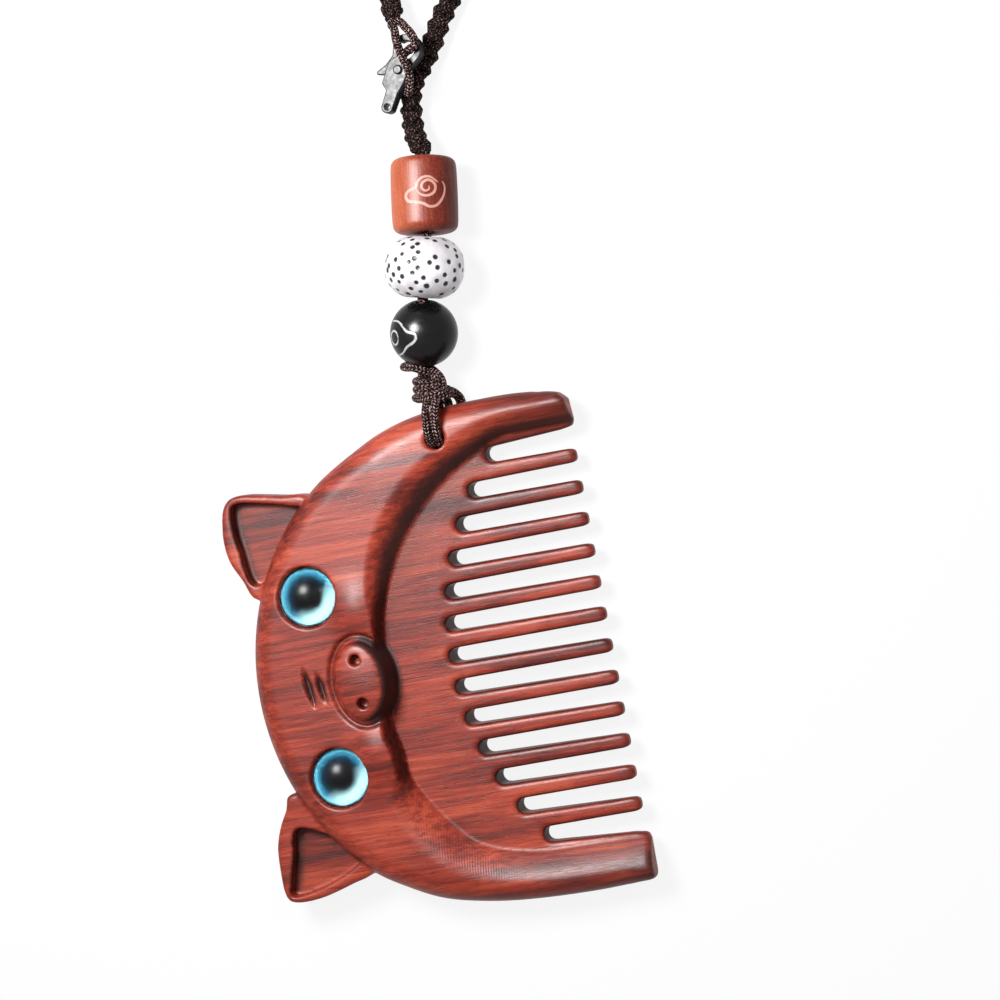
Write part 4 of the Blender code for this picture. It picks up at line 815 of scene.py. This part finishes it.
def make_comb(wood):
    axes = [spaced(*stretches) for stretches in COMB_GRID]
    shape, milled, wall = comb_shape(*axes)
    points, faces = surface(shape, axes)
    # Each point moves onto the rounded surface, along its slope
    slopes = np.gradient(shape, *axes)
    for _ in range(2):
        lean = np.stack([read_grid(slope, axes, points) for slope in slopes], 1)
        size = np.maximum(0.3, (lean ** 2).sum(1))
        points = points - np.clip(read_grid(shape, axes, points) / size, -0.2, 0.2)[:, None] * lean
    normals = lean / np.maximum(1e-6, np.linalg.norm(lean, axis=1))[:, None]
    # Painted shade, kept in the hollow mark: dark where the wood closes in, then at the slots' ends, on the
    # teeth's sides and at the carved walls
    hollow = np.zeros(len(points))
    for reach in (0.9, 2.0):
        hollow += np.clip(1.0 - read_grid(shape, axes, points + normals * reach) / reach, 0.0, 1.0) / 2
    hollow = smoothed(between(hollow, 0.12, 0.95), faces, 8)
    milled, wall = (read_grid(np.broadcast_to(layer[:, :, None], shape.shape), axes, points)
                    for layer in (milled, wall))
    x, y = np.abs(points[:, 0]), points[:, 1]
    root = (x < TEETH_HALF) & (y < -3.0) & (y > -33.0) & (normals[:, 2] < 0.6)
    hollow = np.maximum(hollow, 0.9 * smoothed(root * between(-normals[:, 1], 0.25, 0.6), faces, 2))
    side = (x < TEETH_HALF) & (y < -8.0)
    hollow = np.maximum(hollow, 0.7 * smoothed(side * between(np.abs(normals[:, 0]), 0.4, 0.85), faces, 1))
    hollow = np.maximum(hollow, wall * (normals[:, 2] > 0))
    comb = mesh_object("comb_carved", (points, faces), wood)
    comb.data.normals_split_custom_set_from_vertices(normals)
    keep_mark(comb, "hollow", hollow)
    keep_mark(comb, "milled", milled * (normals[:, 2] > 0.2))
    shown(comb, "comb_body", "red_wood", "comb")


def smoothed(values, faces, rounds):
    """Numbers at a mesh's points, evened out with those of their neighbours."""
    values = np.asarray(values, float)
    pairs = np.vstack([faces[:, [side, (side + 1) % 4]] for side in range(4)])
    here, there = np.vstack([pairs, pairs[:, ::-1]]).T
    count = np.maximum(1, np.bincount(here, minlength=len(values)))
    for _ in range(rounds):
        near = np.bincount(here, weights=values[there], minlength=len(values))
        values = (values + near / count) / 2
    return values


def keep_mark(obj, name, values):
    """Keeps a number at each of a mesh's points, for its material to read."""
    attribute = obj.data.attributes.new(name, "FLOAT", "POINT")
    attribute.data.foreach_set("value", np.asarray(values, np.float32))


# The eyes

IRIS_LOW, IRIS_THICKNESS, IRIS_RADIUS, IRIS_BEVEL = 9.7, 0.7, 5.7, 0.1
GLASS_RADIUS, GLASS_EDGE, GLASS_DOME, GLASS_GAP, GLASS_BEVEL = 6.0, 1.49, 3.6, 0.01, 0.15


def make_eyes(clear, printed):
    low = IRIS_LOW + IRIS_THICKNESS + GLASS_GAP
    ball = (GLASS_RADIUS ** 2 + GLASS_DOME ** 2) / (2 * GLASS_DOME)
    spread = math.asin(GLASS_RADIUS / ball)
    dome = []
    for angle in np.linspace(0.0, spread, 20):
        dome.append((ball * math.sin(angle), GLASS_EDGE + GLASS_DOME - ball * (1 - math.cos(angle))))
    glass_profile = dome + [(GLASS_RADIUS, GLASS_BEVEL), (GLASS_RADIUS - GLASS_BEVEL, 0.0), (0.0, 0.0)]
    iris_profile = [(0.0, IRIS_THICKNESS), (IRIS_RADIUS - IRIS_BEVEL, IRIS_THICKNESS),
                    (IRIS_RADIUS, IRIS_THICKNESS - IRIS_BEVEL), (IRIS_RADIUS, 0.0), (0.0, 0.0)]
    for side, place in EYE_PLACES.items():
        for node, profile, height, material, finish in (
            ("eye_glass_" + side, glass_profile, low, clear, "eye_glass"),
            ("eye_iris_" + side, iris_profile, IRIS_LOW, printed, "iris_blue"),
        ):
            piece = welded(mesh_object(node + "_round", spun(profile, 72), material))
            piece.data.set_sharp_from_angle(angle=math.radians(40))
            piece.location = Vector((*place, height)) * MM
            shown(piece, node, finish, "comb")


def welded(obj):
    """Merges the points that a turned profile repeats at its poles."""
    work = bmesh.new()
    work.from_mesh(obj.data)
    bmesh.ops.remove_doubles(work, verts=work.verts, dist=0.001 * MM)
    work.to_mesh(obj.data)
    work.free()
    return obj


# The knot. Its rings are closed turns of cord.

KNOT_CORD_RADIUS = 0.85
KNOT_RINGS = [
    [(59.89, -6.26, 5.4), (59.56, -7.47, 7.2), (59.27, -9.02, 8.2), (58.6, -10.39, 8.2), (57.88, -11.43, 7.2),
     (57.89, -11.83, 5.4), (58.74, -10.56, 3.9), (59.63, -8.63, 3.4), (60.1, -6.75, 4)],
    [(56.55, -8.11, 5), (56.07, -9.14, 7.2), (55.53, -10.43, 8.2), (55.37, -11.77, 7.8), (55.7, -12.06, 5.8),
     (56.34, -10.76, 4), (56.78, -9, 3.6)],
    [(54.95, -7.9, 5), (54.46, -8.97, 7.3), (54, -10.41, 8.4), (53.94, -11.74, 7.9), (54.28, -12, 5.8),
     (54.81, -10.68, 4), (55.15, -8.89, 3.6)],
]
# The cords that stand in it, those that bulge to one side and those that cross its foot
KNOT_CORDS = [
    [(58.8, -10.9, 5.6), (56.5, -11.2, 6), (54.3, -11.7, 6.7), (52.3, -12.1, 7)],
    [(58.8, -9.9, 5.6), (56.5, -9.8, 6), (54.3, -10, 6.7), (52.1, -10.3, 7)],
    [(57.5, -10.9, 4.6), (55, -11.3, 4.2), (52.3, -12.1, 4.2)],
    [(57.5, -9.8, 4.6), (55, -9.9, 4.2), (52.1, -10.3, 4.2)],
    [(59.15, -11.17, 5.6), (57.72, -12.74, 6), (56.31, -13.7, 6.2), (54.94, -13.9, 6.2), (53.79, -13.55, 6.6),
     (52.96, -12.55, 7), (52.96, -10.92, 6.6)],
    [(58.26, -11.53, 6.6), (56.91, -12.74, 7.2), (55.51, -13.13, 7.6), (54.18, -12.59, 7.4),
     (53.41, -11.22, 6.6)],
    [(58.3, -11.6, 4.6), (56.8, -12.9, 4.6), (55, -13.2, 4.7), (53.5, -12.6, 5), (52.8, -11.4, 5.4)],
    [(53.27, -7.57, 5.6), (52.85, -8.86, 7.6), (52.72, -10.71, 8.8), (52.89, -12.58, 9.2),
     (53.23, -13.95, 8.6), (53.58, -14.65, 7.2), (53.78, -14.58, 5.8)],
    [(52.36, -9.83, 7.6), (52.2, -11.83, 8.6), (52.19, -13.53, 8.6), (52.55, -14.73, 7.4),
     (52.79, -14.97, 5.6)],
    [(54.3, -12.91, 5.4), (53.7, -14.18, 5.2), (53, -15.1, 4.5), (52.4, -15.6, 3.4), (51.5, -15.7, 2.4)],
]


def make_knot(cord):
    """Turns of cord pulled tight round standing strands, with cords that bulge to one side."""
    turns = []
    for ring in KNOT_RINGS:
        line = even_line(smooth_line(ring + ring[:1], 0.3), CORD_SPACING)
        turns.append(tube(line, KNOT_CORD_RADIUS, CORD_SIDES))
    turns += [thread_tube(route, KNOT_CORD_RADIUS) for route in KNOT_CORDS]
    shown(mesh_object("neck_knot_turns", join(turns), cord), "neck_knot", "brown_cord", "lanyard")


# The beads

BORE, BORE_BEVEL = 1.6, 0.15
BLACK_DIAMETER, BLACK_LENGTH, BLACK_END = 13.7, 12.8, 2.3
BODHI_DIAMETER, BODHI_LENGTH, BODHI_END, BODHI_ROUNDNESS = 16.0, 12.2, 3.5, 2.4
BARREL_RADIUS, BARREL_HALF, BARREL_END, BARREL_EDGE, BARREL_SAG = 6.7, 7.4, 3.2, 1.5, 0.15
BARREL_BEVEL_WIDTH, BARREL_BEVEL_DEPTH, BARREL_SHOULDER = 0.4, 0.3, 0.8
BLACK_MIDDLE, BLACK_WAY = np.array((65.663, -12.26, 7.0)), Vector((0.96295, -0.20468, 0.17557))
BODHI_MIDDLE, BODHI_WAY = np.array((78.47, -15.213, 8.15)), Vector((0.9703, -0.24192, 0.0))
BARREL_MIDDLE, BARREL_WAY = np.array((92.58, -17.75, 7.389)), Vector((0.98787, -0.12129, -0.097))


def standing(way, middle):
    """The place of a bead: its Z along its bore, its X up."""
    up = Vector((0.0, 0.0, 1.0))
    up = (up - way * up.dot(way)).normalized()
    side = way.cross(up)
    return Matrix.Translation(Vector(middle) * MM) @ Matrix((up, side, way)).transposed().to_4x4()


def round_profile(diameter, length, end, roundness, steps):
    """From the top end round the outside to the lower, and back up the bore. end is a flat end's radius."""
    power = 2 / roundness
    start = math.acos((end * 2 / diameter) ** (1 / power))
    outside = []
    for angle in np.linspace(start, -start, steps):
        rise = math.copysign((abs(math.sin(angle)) / math.sin(start)) ** power, angle)
        outside.append((diameter / 2 * math.cos(angle) ** power, length / 2 * rise))
    lip = length / 2 - BORE_BEVEL
    return [(BORE, lip), *outside, (BORE, -lip), (BORE, lip)]


def barrel_profile():
    """The same for the barrel: rounded corners, and a wall that swells a little at its middle."""
    upper = [(BORE, BARREL_HALF - BARREL_BEVEL_DEPTH), (BORE + BARREL_BEVEL_WIDTH, BARREL_HALF),
             (BARREL_END, BARREL_HALF)]
    for angle in np.radians(np.linspace(90, 0, 9)):
        upper.append((BARREL_RADIUS - BARREL_SAG - BARREL_EDGE + BARREL_EDGE * math.cos(angle),
                      BARREL_HALF - BARREL_EDGE + BARREL_EDGE * math.sin(angle)))
    straight = BARREL_HALF - BARREL_EDGE - BARREL_SHOULDER
    wall = [(BARREL_RADIUS - BARREL_SAG * (height / BARREL_HALF) ** 2, height)
            for height in np.linspace(straight, -straight, 12)]
    return upper + wall + [(radius, -height) for radius, height in reversed(upper)] + upper[:1]


def ribbon(points, outwards, width):
    """A thin flat line painted on a surface. outwards are the surface's directions at the points."""
    sides = unit(np.cross(np.gradient(points, axis=0), outwards))
    share = np.sin(np.linspace(0.0, math.pi, len(points))) ** 0.25
    half = (width / 2 * np.maximum(0.35, share))[:, None]
    rows = np.stack([points - sides * half, points + outwards * PAINT_LIFT, points + sides * half], 1)
    faces = [(a, a + 3, a + 4, a + 1) for index in range(len(points) - 1) for a in (index * 3, index * 3 + 1)]
    return rows.reshape(-1, 3), faces, np.zeros((len(faces) * 4, 2))


def make_beads(stone, chalk, seed, wood, pale):
    black = round_profile(BLACK_DIAMETER, BLACK_LENGTH, BLACK_END, 2.0, 40)
    bodhi = round_profile(BODHI_DIAMETER, BODHI_LENGTH, BODHI_END, BODHI_ROUNDNESS, 84)
    beads = {}
    for node, shape, middle, way, material, finish in (
        ("black_bead", spun(black, 96), BLACK_MIDDLE, BLACK_WAY, stone, "black_stone"),
        ("bodhi_bead", spun(bodhi, 150), BODHI_MIDDLE, BODHI_WAY, seed, "white_seed"),
        ("barrel_bead", spun(barrel_profile(), 96), BARREL_MIDDLE, BARREL_WAY, wood, "orange_wood"),
    ):
        bead = welded(mesh_object(node + "_turned", shape, material))
        bead.data.set_sharp_from_angle(angle=math.radians(45))
        bead.matrix_world = standing(way, middle)
        beads[node] = shown(bead, node, finish, node)
    pit_seed(beads["bodhi_bead"])
    for name, bead_name, shape, material in (
        ("black_bead_lines", "black_bead", eye_lines(), chalk),
        ("barrel_bead_cloud", "barrel_bead", cloud_lines(), pale),
    ):
        lines = mesh_object(name, shape, material)
        lines.matrix_world = beads[bead_name].matrix_world
        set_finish(lines, beads[bead_name]["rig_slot"])
        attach(lines, bead_name)


PIT_COUNT, PIT_TURN, PIT_RISE, PIT_DEPTH = 150, 2.39996, 6.4, 0.16
PIT_SKIPPED = 0.12  # the share of the places that have no pit
PIT_TURN_DRIFT, PIT_RISE_DRIFT, PIT_LAST, PIT_SIZES, PIT_WALL = 0.07, 0.022, 0.97, (0.86, 1.18), (0.2, 0.62)


def pit_seed(bead):
    """Gives the seed bead its pits: sunk points, and each point's distance from the nearest pit's middle."""
    dice = np.random.default_rng(7)
    places = []
    for index in range(PIT_COUNT):
        height = 1.0 - 2.0 * (index + 0.5) / PIT_COUNT
        turn = index * PIT_TURN + dice.normal(0.0, PIT_TURN_DRIFT)
        height = min(PIT_LAST, max(-PIT_LAST, height + dice.normal(0.0, PIT_RISE_DRIFT)))
        if dice.random() < PIT_SKIPPED:
            continue
        reach = BODHI_DIAMETER / 2 * (1.0 - abs(height) ** BODHI_ROUNDNESS) ** (1 / BODHI_ROUNDNESS)
        places.append((reach * math.cos(turn), reach * math.sin(turn), PIT_RISE * height))
    sizes = dice.uniform(*PIT_SIZES, len(places))
    points = np.array([vertex.co for vertex in bead.data.vertices]) / MM
    reach = np.full(len(points), 9.0)
    for place, size in zip(places, sizes):
        reach = np.minimum(reach, np.linalg.norm(points - place, axis=1) / size)
    keep_mark(bead, "pit", reach)
    depth = PIT_DEPTH * (1.0 - between(reach, *PIT_WALL))
    outwards = unit(points * np.array((1.0, 1.0, 0.6)))
    bead.data.vertices.foreach_set("co", ((points - outwards * depth[:, None]) * MM).ravel())


VIEW_TURN = math.radians(16.0)  # from a bead's top to the side that the camera sees
PAINT_LIFT = 0.03
RING_TURN, RING_REACH, RING_WIDTH, WAVE_WIDTH = math.radians(-60), math.radians(12), 0.42, 0.5
CLOUD_SCALE, CLOUD_TURN, CLOUD_RISE, OUTER_WIDTH, INNER_WIDTH = 0.6, math.radians(19.0), 0.1, 0.6, 0.55


def on_ball(points):
    """Directions from the black bead's middle to places seen on it, as shares of its radius right and up."""
    right, up = np.asarray(points, float).T
    near = np.sqrt(np.maximum(0.0, 1.0 - right * right - up * up))
    cos, sin = math.cos(VIEW_TURN), math.sin(VIEW_TURN)
    return np.stack([near * cos - right * sin, right * cos + near * sin, up], 1)


def eye_lines():
    """A pale ring, and a wavy line round it."""
    ring = []
    for angle in np.linspace(0.0, 2 * math.pi, 33):
        turn = RING_TURN + RING_REACH * math.cos(angle)
        rise = RING_REACH * math.sin(angle)
        ring.append((math.sin(turn) * math.cos(rise), math.sin(rise) - 0.03))
    wave = [(-0.90, 0.41), (-0.80, 0.46), (-0.68, 0.43), (-0.58, 0.31), (-0.49, 0.21), (-0.36, 0.17),
            (-0.25, 0.14), (-0.215, 0.03), (-0.28, -0.09), (-0.40, -0.18), (-0.50, -0.27), (-0.57, -0.39),
            (-0.63, -0.48), (-0.76, -0.60)]
    radius = BLACK_DIAMETER / 2
    parts = []
    for line, width in ((ring, RING_WIDTH), (smooth_line(wave, 0.04), WAVE_WIDTH)):
        outwards = on_ball(line)
        points = outwards * radius
        points[:, 2] *= BLACK_LENGTH / 2 / (radius * math.sin(math.acos(BLACK_END / radius)))
        parts.append(ribbon(points * 1.001, outwards, width))
    return join(parts)


def cloud_lines():
    """A simple curled cloud, as cut in such beads, in steps to the right and up from its middle."""
    outer = [(4.4, 2.5), (3.4, 3.2), (1.6, 4.3), (-0.8, 4.1), (-2.5, 2.7), (-3.2, 0.9), (-4.6, 0.3),
             (-6.2, -0.4), (-6.9, -1.8), (-6.1, -3.4), (-3.6, -3.9), (-1, -4.5), (1.2, -5.6), (3.6, -5.2),
             (5.5, -3.3), (6.7, -1), (6.9, 1.3), (6, 2.9)]
    inner = [(-3.2, 0.9), (-2.8, -0.4), (-1.4, -1.6), (0.6, -2), (2.7, -1.1), (3.5, 0.9), (2.6, 2.6),
             (0.8, 3.2), (-0.9, 2.2), (-1.2, 0.6), (0, -0.4), (1.3, 0.2), (1.2, 1.2)]
    parts = []
    for line, width in ((outer, OUTER_WIDTH), (inner, INNER_WIDTH)):
        line = smooth_line(np.array(line) * CLOUD_SCALE, 0.25)
        turn = CLOUD_TURN + line[:, 0] / BARREL_RADIUS
        outwards = np.stack([np.cos(turn), np.sin(turn), 0.0 * turn], 1)
        points = outwards * (BARREL_RADIUS - BARREL_SAG * (line[:, 1:] / BARREL_HALF) ** 2)
        points[:, 2] = line[:, 1] + CLOUD_RISE
        parts.append(ribbon(points, outwards, width))
    return join(parts)


# The clasp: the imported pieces, with the soft edges of cast metal

CAST_FINENESS = 0.14


def make_clasp(metal):
    for node, body in (("clasp_body", "clasp"), ("clasp_lever", "lever")):
        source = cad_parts[node]
        piece = placed(node + "_cast", source.data.copy())
        piece.matrix_world = source.matrix_world
        piece.data.materials.clear()
        piece.data.materials.append(metal)
        net = piece.modifiers.new("net", "REMESH")
        net.mode = "VOXEL"
        net.voxel_size = CAST_FINENESS * MM
        net.use_smooth_shade = True
        soft = piece.modifiers.new("soft", "SMOOTH")
        soft.factor = 0.5
        soft.iterations = 5
        bpy.context.view_layer.update()
        mesh = bpy.data.meshes.new_from_object(piece.evaluated_get(bpy.context.evaluated_depsgraph_get()))
        piece.modifiers.clear()
        piece.data = mesh
        shown(piece, node, "black_metal", body)
    for node in ("clasp_rivet", "clasp_spring"):
        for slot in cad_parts[node].material_slots:
            slot.material = metal


# The table and the light

TABLE_HALF, TABLE_Z = 900.0, -0.1
TABLE_GLOW, AMBIENT = 0.88, 0.22
LIT_PLACE = Vector((10.0, -5.0, 8.0)) * MM
KEY_WAY, FILL_WAY = (0.47, 0.20, 0.86), (0.3, -0.6, 0.7)


def plainly_seen(tree):
    """1 for the rays that show the white ground as it is: from the camera, and in what shines or is clear."""
    rays = tree.nodes.new("ShaderNodeLightPath").outputs
    seen = rays["Is Camera Ray"]
    for kind in ("Is Glossy Ray", "Is Transmission Ray"):
        most = tree.nodes.new("ShaderNodeMath")
        most.operation = "MAXIMUM"
        tree.links.new(seen, most.inputs[0])
        tree.links.new(rays[kind], most.inputs[1])
        seen = most.outputs[0]
    return seen


def make_table():
    paint = Paint("white_table", (0.8, 0.8, 0.8, 1.0), 0.9)
    bright = paint.node("Emission", ("Color", (1.0, 1.0, 1.0, 1.0)), ("Strength", 1.0))
    share = paint.times(plainly_seen(paint.tree), TABLE_GLOW)
    blend = paint.node("MixShader", (0, share), (1, paint.shader.outputs[0]), (2, bright.outputs[0]))
    paint.give(paint.tree.nodes["Material Output"].inputs["Surface"], blend.outputs[0])
    corners = [(x * TABLE_HALF, y * TABLE_HALF, TABLE_Z) for x, y in ((-1, -1), (1, -1), (1, 1), (-1, 1))]
    mesh_object("table", (corners, [(0, 1, 2, 3)]), paint.material)


def soft_light(name, way, distance, size, power, mirrored=False, spread=True):
    """A round lamp that faces the comb. mirrored shows it in what shines, and spread lights all."""
    data = bpy.data.lights.new(name, "AREA")
    data.shape = "DISK"
    data.size = size * MM
    data.energy = power
    lamp = placed(name, data)
    lamp.visible_glossy = mirrored
    lamp.visible_diffuse = lamp.visible_transmission = spread
    way = Vector(way).normalized()
    facing = way.to_track_quat("Z", "Y").to_matrix().to_4x4()
    lamp.matrix_world = Matrix.Translation(LIT_PLACE + way * distance * MM) @ facing


def make_light():
    scene = bpy.context.scene
    scene.view_settings.view_transform = "Standard"
    world = bpy.data.worlds.new("studio")
    world.use_nodes = True
    tree = world.node_tree
    background = tree.nodes["Background"]
    background.inputs["Color"].default_value = (1.0, 1.0, 1.0, 1.0)
    strength = tree.nodes.new("ShaderNodeMapRange")
    strength.inputs["To Min"].default_value = AMBIENT
    strength.inputs["To Max"].default_value = 1.0
    tree.links.new(plainly_seen(tree), strength.inputs["Value"])
    tree.links.new(strength.outputs[0], background.inputs["Strength"])
    scene.world = world
    soft_light("key", KEY_WAY, distance=330.0, size=130.0, power=1.5, mirrored=True)
    soft_light("gleam", KEY_WAY, distance=340.0, size=130.0, power=4.0, mirrored=True, spread=False)
    soft_light("fill", FILL_WAY, distance=600.0, size=300.0, power=0.5)


def main():
    make_camera()
    # Each cord's second colour is its painted highlight on the stitch tops
    cord = woven("brown_woven_cord", rgb(22, 10, 9), rgb(204, 166, 162), 0.62, 4)
    braid_cord = woven("brown_braided_cord", rgb(14, 6, 6), rgb(116, 88, 84), 0.5, 4)
    braid, line = make_braid(braid_cord)
    links = make_woven(cord, "link_leg_front", "link_leg_back")
    make_comb(red_wood())
    make_eyes(glass(), iris_print_with_painted_caustic())
    make_knot(cord)
    make_woven(cord, "knot_tail", "hole_strand_right", "hole_strand_left", "bead_cord")
    make_beads(
        plain("black_agate", rgb(12, 12, 14), 0.27, Specular_IOR_Level=0.2),
        plain("white_lines", rgb(176, 176, 178), 0.4),
        seed_skin(), lacquer(),
        plain("pale_lines", rgb(196, 138, 124), 0.6),
    )
    make_clasp(gunmetal())
    make_table()
    make_light()


main()
